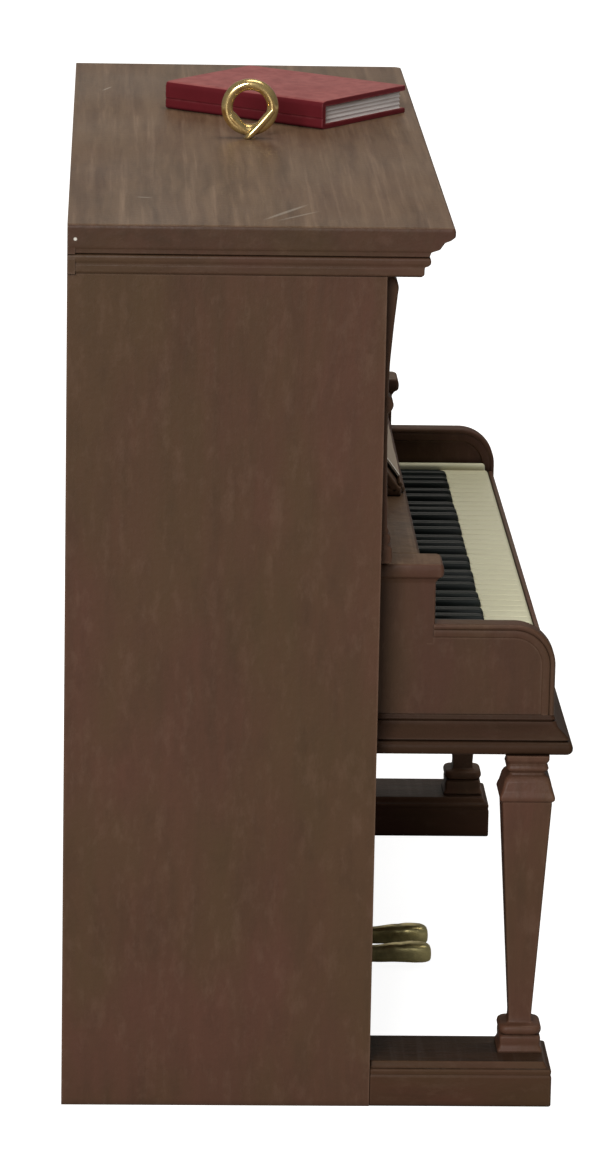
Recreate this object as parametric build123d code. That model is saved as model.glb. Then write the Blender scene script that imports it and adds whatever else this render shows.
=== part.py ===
"""Miniature upright piano, a hanging ornament with a sound unit behind its rear cover.

Frame: +Z up, the keyboard faces -Y, the bass end is at -X.
Origin: centre of the outline in plan, on the surface that the case stands on. Units: mm.
"""

from build123d import *
from math import cos, pi, radians, sin
import os

# ---------------------------------------------------------------- overall sizes
CASE_LENGTH = 104.0        # over the side panels, along X
CASE_HEIGHT = 87.0         # floor to the underside of the cornice
CASE_DEPTH = 31.7          # rear edge to front edge of a side panel
TOTAL_DEPTH = 52.0         # rear edge of the case to the lip of the key bed
WALL = 2.4                 # side panels and bottom board
PANEL = 2.0                # front boards
FIELD_PROUD = 0.5          # raised field of the upper panel
FIELD_MARGIN = 2.4         # field inside the front board's window
WINDOW_SIDE = 1.5          # window inside the key blocks
WINDOW_FOOT = 1.6          # window above the shelf
WINDOW_HEAD = 4.6          # window below the cornice
WINDOW_STEP = 0.6          # rebate round the window
STEP_DEPTH = 0.4
KNEE_SIDE = 9.0            # margins round the knee panel's sunk field
KNEE_FOOT = 6.5
KNEE_HEAD = 5.0
KNEE_DEPTH = 0.5
GAP = 0.05                 # between glued neighbours that don't share a face
REBATE = 0.5               # front boards behind the side panels' front edges
COVER_CLEAR = 0.1          # between the rear cover and the case round it

# ---------------------------------------------------------------- lid and cornice
LID_THICKNESS = 3.0
CORNICE_HEIGHT = 2.0
LID_FRONT = 6.7            # lid's overhang beyond the case front
LID_SIDE = 0.4             # lid's overhang beyond each side panel
LID_SKIN = 0.6             # lid left above the eye's socket
EDGE_STEP = 0.22           # step at the foot of the lid's side moulding
CORNICE_FRONT = 4.3        # cornice's overhang beyond the case front
MOULDING_END = 0.8         # plain margin at the rear of the side mouldings
FRAME_RAIL = 6.0           # width of the cornice frame's rails

# ---------------------------------------------------------------- key bed, arms and blocks
BED_BOTTOM = 36.7
BED_TOP = 40.5
LIP_HEIGHT = 1.35
LIP_PROUD = 0.4            # lip beyond the flared fascia
FLARE = 1.5                # fascia's foot beyond its top
ARM_THICKNESS = 2.4
ARM_TOP = 50.0
ARM_ROUND = 4.3            # radius of the arm's top front corner
ARM_INSET = 5.4            # arm's outer face inside the side panel's outer face
ARM_BAND = 1.35            # width of the moulded band round an arm
ARM_RECESS = 0.3           # depth of the field inside that band
BLOCK_WIDTH = 4.0
BLOCK_PROUD = 5.95         # key block beyond the case front
BLOCK_TOP = 56.4
CAP_HEIGHT = 1.6
CAP_SIDE = 0.4
CAP_FRONT = 0.8

# ---------------------------------------------------------------- keyboard
KEY_TOP = 45.3
WHITE_KEYS = 38            # A, B, five octaves and the last C
KEY_INSET = 0.8            # key fronts behind the arm fronts
KEY_LAND = 0.6             # plain margin in front of the grooves
KEY_END = 2.3              # rear of the keys beyond the case front
WHITE_SHOWN = 5.1          # white length in front of the black keys
RIM_WIDTH = 0.95
RIM_HEIGHT = 0.7
GROOVE_WIDTH = 0.16
GROOVE_DEPTH = 0.25
BLACK_WIDTH = 1.3
BLACK_HEIGHT = 0.8
BLACK_BED = 0.4            # thickness of the black insert's floor
BLACK_SEAT = 0.5           # floor's front edge behind the black keys' fronts
TWOS_AND_THREES = (0.88, 2.12, 3.85, 5.0, 6.15)  # black keys after each C, in white keys
SLIP_THICKNESS = 0.55
SLIP_DROP = 0.3            # slip's top below the key tops

# ---------------------------------------------------------------- shelf, desk and sheet
SHELF_THICKNESS = 1.2
SHELF_PROUD = 4.6          # nosing beyond the case front
FALLBOARD = 0.9
DESK_HALF = 17.0
DESK_LEAN = 36.0           # degrees from upright
DESK_BOARD = 0.9
DESK_LENGTH = 8.6
DESK_PAD = 0.5             # raised pad behind the sheet
DESK_BASE = 1.0
DESK_BASE_DEPTH = 2.2
DESK_SETBACK = 0.7         # base block behind the shelf's nosing
DESK_TOE = 0.4             # desk board below its own hinge line
LEDGE_DEPTH = 0.2          # ledge above that line
SHEET_HALF = 13.5
SHEET_THICKNESS = 0.35
SHEET_LENGTH = 8.0
LEDGE = 0.9                # ledge in front of the desk board

# ---------------------------------------------------------------- legs, toes and pilasters
TOE_WIDTH = 9.5
TOE_HEIGHT = 4.7
TOE_COVE = 0.8
TOE_BACK = 1.5             # toe fronts behind the key bed's lip
LEG_INSET = 5.55           # leg axis inside the side panel's outer face
LEG_BACK = 4.6             # leg axis behind the key bed's lip
PLINTH = 4.7
PLINTH_HEIGHT = 1.7
CUSHION = 4.3
CUSHION_HEIGHT = 1.7
SHAFT_FOOT = 2.35
SHAFT_HEAD = 5.1
CAPITAL = 5.7
CAPITAL_HEIGHT = 4.8
LEG_NECK = 3.5
LEG_ABACUS = 4.4
PILASTER_WIDTH = 3.4
PILASTER_INSET = 0.4       # pilaster's outer edge inside the side panel's outer face
PILASTER_PROUD = 0.55
CONSOLE_PROUD = 1.3
PILASTER_FOOT = 57.0

# ---------------------------------------------------------------- pedals
PEDAL_CENTRE = -3.5        # mid-point of the pair, a little to the bass side
PEDAL_PITCH = 6.5
PEDAL_WIDTH = 2.5
PEDAL_ROOT = 1.5
PEDAL_THICKNESS = 2.35
PEDAL_LIFT = 0.5
PEDAL_PROUD = 9.0          # tip beyond the case front
PEDAL_PEG = 0.6            # radius of the peg in the bottom board
PEG_LENGTH = 1.6

# ---------------------------------------------------------------- hanging eye
EYE_OUTER = 3.1
EYE_WIRE = 0.76            # radius of the wire
EYE_CENTRE = 3.4           # ring centre above the lid
EYE_SHANK = 7.4            # shank below the lid's top
SOCKET_RADIUS = 2.0
SOCKET_FLANGE = 1.2
FLANGE_THICKNESS = 1.0
RUNNING = 0.05             # radial clearance of what turns or slides

# ---------------------------------------------------------------- book on the lid
BOOK_WIDTH = 15.9
BOOK_LENGTH = 21.6
BOOK_THICKNESS = 3.1
BOOK_BOARD = 0.55
BOOK_SQUARE = 0.35         # boards beyond the pages
BOOK_X = 6.05              # near corner of the spine
BOOK_Y = -1.3
BOOK_TURN = -37.8          # degrees about Z

# ---------------------------------------------------------------- rear cover and sound unit
COVER = 1.6
COVER_RECESS = 0.4         # cover's outer face inside the panels' rear edges
SCREW_HEAD = 1.5
SCREW_HEAD_HEIGHT = 0.9
SCREW_SHANK = 0.7
SCREW_LENGTH = 6.0
SLOT_WIDTH = 0.4
SLOT_DEPTH = 0.35
SLOT_REACH = 0.7           # slot's half length as a share of the head's radius
SEAT_CLEAR = 0.15          # round a screw head in its seat
POST_SIZE = 4.4
POST_DEPTH = 9.0
POST_INSET = 8.0           # screw axes from the cover's top and bottom edges
SPEAKER_RADIUS = 14.0
SPEAKER_Z = 62.0
SPEAKER_DEPTH = 5.0
RIM_DEPTH = 1.0            # speaker's rim
RIM_LAND = 1.6
BASKET_WALL = 0.7
TAG_REACH = 1.8            # terminal tag beyond the speaker's rim
GRILLE_HOLE = 0.75
GRILLE_RINGS = 3
CELL_RADIUS = 5.8
CELL_LENGTH = 5.4
CELLS = 3
TRAY_WALL = 1.2
TRAY_FIT = 0.25
TRAY_Z = 24.0
DOOR_MARGIN = 1.6
DOOR_GAP = 0.2
DOOR_EAR = 6.0             # door's extra length for its screw
BUTTON_RADIUS = 4.0
BUTTON_X = -31.0
BUTTON_Z = 62.0
BUTTON_PROUD = 0.3
BUTTON_FLANGE = 1.2
BUTTON_TRAVEL = 0.8
BOARD_THICKNESS = 1.0
BOARD_WIDTH = 24.0
BOARD_HEIGHT = 34.0
BOARD_DEPTH = 8.0          # board's rear face in front of the cover's inner face
LEAD_RADIUS = 0.35
LEAD_OFFSET = 0.5          # each lead of a pair off their middle line
SWITCH_SIDE = 6.0
STEM_RADIUS = 1.2
STEM_REACH = 3.0           # button's stem behind the cover's inner face

# ---------------------------------------------------------------- shared places
BACK_Y = TOTAL_DEPTH / 2
LIP_Y = -TOTAL_DEPTH / 2
CASE_FRONT = BACK_Y - CASE_DEPTH
SIDE_X = CASE_LENGTH / 2
INNER_X = SIDE_X - WALL
LID_BOTTOM = CASE_HEIGHT + CORNICE_HEIGHT
LID_TOP = LID_BOTTOM + LID_THICKNESS
BOARD_FRONT = CASE_FRONT + REBATE
BOARD_BACK = BOARD_FRONT + PANEL
ARM_OUT = SIDE_X - ARM_INSET
ARM_IN = ARM_OUT - ARM_THICKNESS
ARM_FRONT = LIP_Y + LIP_PROUD + FLARE
BLOCK_FRONT = CASE_FRONT - BLOCK_PROUD
BLOCK_IN = ARM_OUT - BLOCK_WIDTH
KEY_FRONT = ARM_FRONT + KEY_INSET
BLACK_FRONT = KEY_FRONT + WHITE_SHOWN
KEY_BACK = CASE_FRONT - KEY_END
KEY_FIELD = ARM_IN - GAP - RIM_WIDTH
PITCH = 2 * KEY_FIELD / WHITE_KEYS
SHELF_FRONT = CASE_FRONT - SHELF_PROUD
SHELF_BOTTOM = BLOCK_TOP - 0.1 - SHELF_THICKNESS
SHELF_TOP = SHELF_BOTTOM + SHELF_THICKNESS
LEG_X = SIDE_X - LEG_INSET
LEG_Y = LIP_Y + LEG_BACK
TOE_FRONT = LIP_Y + TOE_BACK
COVER_BACK = BACK_Y - COVER_RECESS
COVER_FRONT = COVER_BACK - COVER
COVER_HALF = INNER_X - COVER_CLEAR
COVER_LOW = WALL + COVER_CLEAR
COVER_HIGH = CASE_HEIGHT - COVER_CLEAR
EYE_Y = (BACK_Y + CASE_FRONT - LID_FRONT) / 2
CELL_Y = COVER_FRONT - TRAY_FIT - CELL_RADIUS
TRAY_HALF = CELLS * CELL_LENGTH / 2 + TRAY_FIT + TRAY_WALL
TRAY_TALL = CELL_RADIUS + TRAY_FIT + TRAY_WALL
DOOR_LEFT = -TRAY_HALF + TRAY_WALL - DOOR_MARGIN
DOOR_RIGHT = TRAY_HALF + DOOR_EAR
DOOR_SCREW_X = TRAY_HALF + DOOR_EAR / 2
BOARD_BACK_Y = COVER_FRONT - BOARD_DEPTH
PANEL_HALF = BLOCK_IN - WINDOW_SIDE
PANEL_LOW = SHELF_TOP + WINDOW_FOOT
PANEL_HIGH = CASE_HEIGHT - WINDOW_HEAD


# ---------------------------------------------------------------- small helpers
def block(x, y, z):
    """A box from three (low, high) pairs."""
    return Pos(sum(x) / 2, sum(y) / 2, sum(z) / 2) * Box(x[1] - x[0], y[1] - y[0], z[1] - z[0])


def rod(radius, start, length, axis="Z"):
    """A cylinder that starts at a point and runs along one axis."""
    turn = {"X": (0, 90, 0), "Y": (-90, 0, 0), "Z": (0, 0, 0)}[axis]
    upright = Cylinder(radius, length, align=(Align.CENTER, Align.CENTER, Align.MIN))
    return Pos(*start) * Rot(*turn) * upright


def prism_x(points, low, high):
    """A (y, z) outline carried along X."""
    face = Plane.YZ.offset(low) * make_face(Polyline(*points, close=True))
    return extrude(face, amount=high - low)


def prism_y(points, low, high):
    """An (x, z) outline carried along Y."""
    face = Plane.XZ.offset(-low) * make_face(Polyline(*points, close=True))
    return extrude(face, amount=-(high - low))


def both(outline):
    """Closes a right-hand outline with its own mirror image."""
    return outline + [(-x, z) for x, z in reversed(outline) if x > 0]


def frustum(low, high, z):
    """A four-sided taper between two (x0, x1, y0, y1) rectangles."""
    faces = []
    for rect, level in zip((low, high), z):
        x0, x1, y0, y1 = rect
        centre = Pos((x0 + x1) / 2, (y0 + y1) / 2, level)
        faces.append(centre * Rectangle(x1 - x0, y1 - y0))
    return loft(faces)


def square(half, x=0.0, y=0.0):
    """The rectangle of a square section about a point."""
    return (x - half, x + half, y - half, y + half)


def group(shapes):
    """Separate solids that share one node."""
    return Compound(children=[s if isinstance(s, Solid) else s.solid() for s in shapes])


def mirrored(shape):
    """The same piece on the treble side."""
    return mirror(shape, about=Plane.YZ)


# ---------------------------------------------------------------- case
def side_panel():
    """Bass side panel with its two screw posts."""
    panel = block((-SIDE_X, -INNER_X), (CASE_FRONT, BACK_Y), (0, CASE_HEIGHT))
    for z in screw_heights():
        post = block(
            (-INNER_X, -INNER_X + POST_SIZE),
            (COVER_FRONT - POST_DEPTH, COVER_FRONT),
            (z - POST_SIZE / 2, z + POST_SIZE / 2),
        )
        panel += post
    for x, z in screw_places():
        if x < 0:
            panel -= rod(SCREW_SHANK + RUNNING, (x, COVER_FRONT - POST_DEPTH + 1, z), POST_DEPTH, "Y")
    return panel


def screw_heights():
    """Heights of the cover screws."""
    return (COVER_LOW + POST_INSET, COVER_HIGH - POST_INSET)


def screw_places():
    """Axes of the four cover screws."""
    x = INNER_X - POST_SIZE / 2
    return [(side * x, z) for side in (-1, 1) for z in screw_heights()]


def bottom_board():
    """Board between the side panels that the case stands on."""
    board = block((-INNER_X, INNER_X), (BOARD_FRONT, COVER_BACK), (0, WALL))
    for x in pedal_places():
        board -= rod(PEDAL_PEG + GAP, (x, BOARD_FRONT - 1, WALL / 2), 1 + PEG_LENGTH + GAP, "Y")
    return board


def lid():
    """Lid slab: rounded nose and ogee at the front, shallow edge moulding at the sides."""
    nose = CASE_FRONT - LID_FRONT
    t = LID_THICKNESS
    front = [
        (BACK_Y, LID_TOP),
        (nose + 0.15, LID_TOP),
        (nose, LID_TOP - 0.12 * t),
        (nose, LID_TOP - 0.3 * t),
        (nose + 0.45, LID_TOP - 0.42 * t),
        (nose + 1.0, LID_TOP - 0.5 * t),
        (nose + 1.3, LID_TOP - 0.62 * t),
        (nose + 1.55, LID_TOP - 0.74 * t),
        (nose + 2.4, LID_TOP - 0.82 * t),
        (nose + 2.6, LID_BOTTOM),
        (BACK_Y, LID_BOTTOM),
    ]
    edge = SIDE_X + LID_SIDE
    side = [
        (0, LID_TOP),
        (edge - 0.1, LID_TOP),
        (edge, LID_TOP - 0.15),
        (edge, LID_TOP - 0.78 * t),
        (edge - EDGE_STEP, LID_TOP - 0.86 * t),
        (edge - EDGE_STEP, LID_BOTTOM),
        (0, LID_BOTTOM),
    ]
    slab = prism_x(front, -edge, edge)
    rounded = prism_y(both(side), nose - 1, BACK_Y - MOULDING_END)
    plain = block((-edge, edge), (BACK_Y - MOULDING_END, BACK_Y), (LID_BOTTOM, LID_TOP))
    slab = slab & (rounded + plain)
    hole = rod(SOCKET_RADIUS, (0, EYE_Y, LID_BOTTOM - 1), LID_THICKNESS - LID_SKIN + 1)
    neck = rod(EYE_WIRE + RUNNING, (0, EYE_Y, LID_BOTTOM), LID_THICKNESS + 1)
    return slab - hole - neck


def cornice():
    """Frame under the lid: a bead above a fillet at the front and sides."""
    bead = CASE_FRONT - CORNICE_FRONT
    h = CORNICE_HEIGHT
    front = [
        (BACK_Y, LID_BOTTOM),
        (bead + 0.2, LID_BOTTOM),
        (bead, LID_BOTTOM - 0.15 * h),
        (bead, LID_BOTTOM - 0.35 * h),
        (bead + 0.25, LID_BOTTOM - 0.5 * h),
        (bead + 0.6, LID_BOTTOM - 0.52 * h),
        (bead + 0.6, LID_BOTTOM - 0.88 * h),
        (bead + 0.9, CASE_HEIGHT),
        (BACK_Y, CASE_HEIGHT),
    ]
    edge = SIDE_X + LID_SIDE
    side = [
        (0, LID_BOTTOM),
        (edge - EDGE_STEP, LID_BOTTOM),
        (edge - 0.06, LID_BOTTOM - 0.15 * h),
        (edge - 0.06, LID_BOTTOM - 0.38 * h),
        (edge - 0.25, LID_BOTTOM - 0.5 * h),
        (edge - 0.1, LID_BOTTOM - 0.58 * h),
        (edge - 0.1, LID_BOTTOM - 0.88 * h),
        (edge - 0.3, CASE_HEIGHT),
        (0, CASE_HEIGHT),
    ]
    ring = prism_x(front, -edge, edge)
    moulded = prism_y(both(side), bead - 1, BACK_Y - MOULDING_END)
    plain = block((-edge, edge), (BACK_Y - MOULDING_END, BACK_Y), (CASE_HEIGHT, LID_BOTTOM))
    ring = ring & (moulded + plain)
    opening = block(
        (-SIDE_X + FRAME_RAIL, SIDE_X - FRAME_RAIL),
        (CASE_FRONT + FRAME_RAIL / 2, BACK_Y - FRAME_RAIL),
        (CASE_HEIGHT - 1, LID_BOTTOM + 1),
    )
    return ring - opening


def front_board():
    """Board behind the keys and round the upper panel."""
    board = block((-INNER_X, INNER_X), (BOARD_FRONT, BOARD_BACK), (BED_TOP, CASE_HEIGHT))
    window = block((-PANEL_HALF, PANEL_HALF), (BOARD_FRONT - 1, BOARD_BACK + 1), (PANEL_LOW, PANEL_HIGH))
    board -= window
    return board - block(
        (-PANEL_HALF - WINDOW_STEP, PANEL_HALF + WINDOW_STEP),
        (BOARD_FRONT - 1, BOARD_FRONT + STEP_DEPTH),
        (PANEL_LOW - WINDOW_STEP, PANEL_HIGH + WINDOW_STEP),
    )


def upper_front_panel():
    """Panel behind the front board's window, with a raised field."""
    lap = 2.5
    thickness = 1.2
    panel = block(
        (-PANEL_HALF - lap, PANEL_HALF + lap),
        (BOARD_BACK, BOARD_BACK + thickness),
        (PANEL_LOW - lap, PANEL_HIGH + lap),
    )
    field = block(
        (-PANEL_HALF + FIELD_MARGIN, PANEL_HALF - FIELD_MARGIN),
        (BOARD_BACK - FIELD_PROUD, BOARD_BACK),
        (PANEL_LOW + FIELD_MARGIN, PANEL_HIGH - FIELD_MARGIN),
    )
    field = chamfer(field.faces().sort_by(Axis.Y)[0].edges(), FIELD_PROUD * 0.9)
    return panel + field


def lower_front_panel():
    """Knee panel between the bottom board and the key bed, with a sunk field."""
    panel = block((-INNER_X, INNER_X), (BOARD_FRONT, BOARD_BACK), (WALL, BED_BOTTOM))
    sunk = block(
        (-INNER_X + KNEE_SIDE, INNER_X - KNEE_SIDE),
        (BOARD_FRONT - 1, BOARD_FRONT + KNEE_DEPTH),
        (WALL + KNEE_FOOT, BED_BOTTOM - KNEE_HEAD),
    )
    return panel - sunk


def pilaster():
    """Bass pilaster: strip with a console and beads at its head and a moulded foot."""
    y = BOARD_FRONT
    face = CASE_FRONT - PILASTER_PROUD
    head = CASE_HEIGHT
    x0 = -SIDE_X + PILASTER_INSET + WALL
    x1 = x0 + PILASTER_WIDTH
    console = CASE_FRONT - CONSOLE_PROUD
    outline = [
        (y, PILASTER_FOOT),
        (CASE_FRONT - 1.25, PILASTER_FOOT),
        (CASE_FRONT - 1.25, PILASTER_FOOT + 1.7),
        (CASE_FRONT - 0.95, PILASTER_FOOT + 2.0),
        (CASE_FRONT - 1.1, PILASTER_FOOT + 2.5),
        (CASE_FRONT - 0.95, PILASTER_FOOT + 3.0),
        (CASE_FRONT - 0.85, PILASTER_FOOT + 3.4),
        (face, PILASTER_FOOT + 12.0),
        (face, head - 14.3),
        (CASE_FRONT - 0.8, head - 14.0),
        (CASE_FRONT - 0.85, head - 13.6),
        (CASE_FRONT - 0.8, head - 13.2),
        (face, head - 12.9),
        (face, head - 11.8),
        (CASE_FRONT - 0.65, head - 9.2),
        (console, head - 1.9),
        (console - 0.05, head - 1.4),
        (CASE_FRONT - 1.05, head - 0.8),
        (CASE_FRONT - 0.7, head - 0.4),
        (CASE_FRONT - 0.7, head),
        (y, head),
    ]
    return prism_x(outline, x0, x1)


# ---------------------------------------------------------------- key bed, arms, blocks
def key_bed():
    """Flared fascia above a rounded lip, on the lower front panel."""
    foot = (-ARM_OUT - FLARE, ARM_OUT + FLARE, ARM_FRONT - FLARE, BOARD_FRONT)
    head = (-ARM_OUT, ARM_OUT, ARM_FRONT, BOARD_FRONT)
    lip_top = BED_BOTTOM + LIP_HEIGHT
    fascia = frustum(foot, head, (lip_top, BED_TOP))
    lip = block(
        (foot[0] - LIP_PROUD, foot[1] + LIP_PROUD),
        (foot[2] - LIP_PROUD, BOARD_FRONT),
        (BED_BOTTOM, lip_top),
    )
    front = lip.faces().sort_by(Axis.Y)[0].edges()
    lip = fillet(front, LIP_HEIGHT * 0.35)
    tail = block((-INNER_X, INNER_X), (BOARD_FRONT, BOARD_BACK + 4), (BED_BOTTOM, BED_TOP))
    return fascia + lip + tail


def arm_face(inset, lap=0.0):
    """The arm's side outline, moved in by inset at its top and front and out by lap elsewhere."""
    low = BED_TOP - lap
    high = ARM_TOP - inset
    front = ARM_FRONT + inset
    back = BLOCK_FRONT + lap
    radius = ARM_ROUND - inset
    edge = [
        Line((back, low), (back, high)),
        Line((back, high), (front + radius, high)),
        CenterArc((front + radius, high - radius), radius, 90, 90),
        Line((front, high - radius), (front, low)),
        Line((front, low), (back, low)),
    ]
    return make_face(Curve() + edge)


def arm():
    """Bass arm: a plate with a rounded front corner, sunk behind a band over its top and front."""
    body = extrude(Plane.YZ.offset(-ARM_OUT) * arm_face(0), amount=ARM_THICKNESS)
    sunk = arm_face(ARM_BAND, lap=1)
    outer = extrude(Plane.YZ.offset(-ARM_OUT - 1) * sunk, amount=1 + ARM_RECESS / 2)
    inner = extrude(Plane.YZ.offset(-ARM_IN - ARM_RECESS) * sunk, amount=1 + ARM_RECESS)
    return body - outer - inner


def key_block():
    """Bass key block with its overhanging cap."""
    body = block((-ARM_OUT, -BLOCK_IN), (BLOCK_FRONT, BOARD_FRONT), (BED_TOP, BLOCK_TOP - CAP_HEIGHT))
    cap = block(
        (-ARM_OUT - CAP_SIDE, -BLOCK_IN + CAP_SIDE),
        (BLOCK_FRONT - CAP_FRONT, BOARD_FRONT),
        (BLOCK_TOP - CAP_HEIGHT, BLOCK_TOP),
    )
    top = cap.faces().sort_by(Axis.Z)[-1].edges().sort_by(Axis.Y)[:-1]
    cap = fillet(top, CAP_HEIGHT * 0.35)
    return body + cap


def shelf():
    """Shelf over the keys with a rounded nosing."""
    half = BLOCK_IN - CAP_SIDE - GAP
    board = block((-half, half), (SHELF_FRONT, BOARD_FRONT), (SHELF_BOTTOM, SHELF_TOP))
    nosing = board.faces().sort_by(Axis.Y)[0].edges().filter_by(Axis.X)
    return fillet(nosing, SHELF_THICKNESS * 0.4)


def fallboard():
    """Board that closes the space behind the keys, leaning back under the shelf."""
    foot = KEY_TOP + BLACK_HEIGHT + 0.2
    back = KEY_BACK - 0.4
    lean = 0.9
    points = [
        (back, foot),
        (back + FALLBOARD, foot),
        (back + FALLBOARD - lean, SHELF_BOTTOM),
        (back - lean, SHELF_BOTTOM),
    ]
    half = BLOCK_IN - CAP_SIDE - GAP
    return prism_x(points, -half, half)


# ---------------------------------------------------------------- keyboard
def key_plan(margin, front, back, low, high):
    """A slab as wide as the space between the arms, narrower between the key blocks."""
    wide = block(
        (-ARM_IN + margin, ARM_IN - margin), (front, BLOCK_FRONT - GAP), (low, high)
    )
    narrow = block(
        (-BLOCK_IN + margin, BLOCK_IN - margin), (BLOCK_FRONT - GAP, back), (low, high)
    )
    return wide + narrow


def white_keyboard():
    """One moulding: white keys parted by grooves, with a raised rim at each end."""
    slab = key_plan(GAP, KEY_FRONT, KEY_BACK, BED_TOP, KEY_TOP)
    pocket = block(
        (-KEY_FIELD, KEY_FIELD),
        (BLACK_FRONT + BLACK_SEAT, KEY_BACK + 1),
        (KEY_TOP - BLACK_BED, KEY_TOP + 1),
    )
    slab -= pocket
    grooves = [
        block(
            (x - GROOVE_WIDTH / 2, x + GROOVE_WIDTH / 2),
            (KEY_FRONT + KEY_LAND, BLACK_FRONT + BLACK_SEAT + 0.1),
            (KEY_TOP - GROOVE_DEPTH, KEY_TOP + 1),
        )
        for x in (-KEY_FIELD + PITCH * i for i in range(1, WHITE_KEYS))
    ]
    slab -= grooves
    for side in (-1, 1):
        edges = sorted((side * KEY_FIELD, side * (ARM_IN - GAP)))
        rim = block(edges, (KEY_FRONT + 0.5, BLOCK_FRONT - GAP), (KEY_TOP - 1, KEY_TOP + RIM_HEIGHT))
        rim = fillet(rim.faces().sort_by(Axis.Z)[-1].edges().filter_by(Axis.Y), RIM_WIDTH * 0.35)
        slab += rim
    return slab


def black_key_places():
    """Centres of the black keys, grouped in twos and threes, for an A to C keyboard."""
    first_c = -KEY_FIELD + 2 * PITCH
    lowest = first_c - 1.2 * PITCH
    highest = KEY_FIELD - BLACK_WIDTH / 2
    octaves = range(-1, WHITE_KEYS // 7)
    places = [first_c + (octave * 7 + step) * PITCH for octave in octaves for step in TWOS_AND_THREES]
    return [x for x in places if lowest < x < highest]


def black_keys():
    """Black insert: its floor lies in the white moulding's pocket and carries the sharps."""
    floor = block(
        (-KEY_FIELD + GAP, KEY_FIELD - GAP),
        (BLACK_FRONT + BLACK_SEAT + GAP, BLOCK_FRONT - GAP),
        (KEY_TOP - BLACK_BED, KEY_TOP + GAP),
    )
    floor += block(
        (-BLOCK_IN + 2 * GAP, BLOCK_IN - 2 * GAP),
        (BLOCK_FRONT - GAP, KEY_BACK - GAP),
        (KEY_TOP - BLACK_BED, KEY_TOP + GAP),
    )
    bars = []
    for x in black_key_places():
        bar = block(
            (x - BLACK_WIDTH / 2, x + BLACK_WIDTH / 2),
            (BLACK_FRONT, KEY_BACK - GAP),
            (KEY_TOP, KEY_TOP + BLACK_HEIGHT),
        )
        top = bar.faces().sort_by(Axis.Z)[-1].edges().sort_by(Axis.Y)[:-1]
        bars.append(chamfer(top, BLACK_HEIGHT * 0.25))
    for bar in bars:
        floor += bar
    return floor


def key_slip():
    """Dark strip in front of the keys, between the arms."""
    back = KEY_FRONT - GAP
    front = back - SLIP_THICKNESS
    return block((-ARM_IN + GAP, ARM_IN - GAP), (front, back), (BED_TOP, KEY_TOP - SLIP_DROP))


# ---------------------------------------------------------------- music desk
def desk_frame():
    """Placement of the desk: local X along the piano, local Y up its slope, local Z out."""
    foot_y = SHELF_FRONT + DESK_SETBACK + 0.3
    return Location((0, foot_y, SHELF_TOP + DESK_BASE), (90 - DESK_LEAN, 0, 0))


def music_desk():
    """Leaning board on a base block, with a pad and a ledge for the music."""
    base_y = SHELF_FRONT + DESK_SETBACK
    base = block(
        (-DESK_HALF, DESK_HALF),
        (base_y, base_y + DESK_BASE_DEPTH),
        (SHELF_TOP, SHELF_TOP + DESK_BASE),
    )
    board = block((-DESK_HALF, DESK_HALF), (-DESK_TOE, DESK_LENGTH), (-DESK_BOARD, 0))
    pad_half = SHEET_HALF - 0.6
    pad = block((-pad_half, pad_half), (0, SHEET_LENGTH - DESK_TOE), (0, DESK_PAD))
    ledge = block((-DESK_HALF + 1, DESK_HALF - 1), (-DESK_TOE, LEDGE_DEPTH), (0, LEDGE))
    clear = BOARD_BACK - FIELD_PROUD - 2 * GAP
    keep = block((-CASE_LENGTH, CASE_LENGTH), (-CASE_LENGTH, clear), (SHELF_TOP, LID_TOP))
    return ((desk_frame() * (board + pad + ledge)) & keep) + base


def song_sheet():
    """Open sheet of music that stands on the desk's ledge."""
    page = block(
        (-SHEET_HALF, SHEET_HALF),
        (LEDGE_DEPTH, LEDGE_DEPTH + SHEET_LENGTH),
        (DESK_PAD, DESK_PAD + SHEET_THICKNESS),
    )
    return desk_frame() * page


# ---------------------------------------------------------------- legs and toes
def leg():
    """Bass leg: plinth, cushion, tapered square shaft and flared capital."""
    x, y = -LEG_X, LEG_Y
    z = TOE_HEIGHT
    plinth = frustum(square(PLINTH / 2, x, y), square(PLINTH / 2 - 0.2, x, y), (z, z + PLINTH_HEIGHT))
    z += PLINTH_HEIGHT
    c = CUSHION / 2
    cushion = block((x - c, x + c), (y - c, y + c), (z, z + CUSHION_HEIGHT))
    cushion = fillet(cushion.edges().filter_by(Plane.XY), CUSHION_HEIGHT * 0.4)
    z += CUSHION_HEIGHT
    shoulder = BED_BOTTOM - CAPITAL_HEIGHT
    shaft = frustum(square(SHAFT_FOOT / 2, x, y), square(SHAFT_HEAD / 2, x, y), (z, shoulder))
    h = CAPITAL_HEIGHT
    band = block(
        (x - CAPITAL / 2, x + CAPITAL / 2),
        (y - CAPITAL / 2, y + CAPITAL / 2),
        (shoulder, shoulder + 0.2 * h),
    )
    flare = frustum(
        square(CAPITAL / 2, x, y), square(LEG_NECK / 2, x, y), (shoulder + 0.2 * h, shoulder + 0.68 * h)
    )
    ring = block(
        (x - LEG_ABACUS / 2 + 0.1, x + LEG_ABACUS / 2 - 0.1),
        (y - LEG_ABACUS / 2 + 0.1, y + LEG_ABACUS / 2 - 0.1),
        (shoulder + 0.68 * h, shoulder + 0.84 * h),
    )
    ring = chamfer(ring.edges().filter_by(Plane.XY), 0.25)
    abacus = block(
        (x - LEG_ABACUS / 2, x + LEG_ABACUS / 2),
        (y - LEG_ABACUS / 2, y + LEG_ABACUS / 2),
        (shoulder + 0.84 * h, BED_BOTTOM),
    )
    return plinth + cushion + shaft + band + flare + ring + abacus


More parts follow.
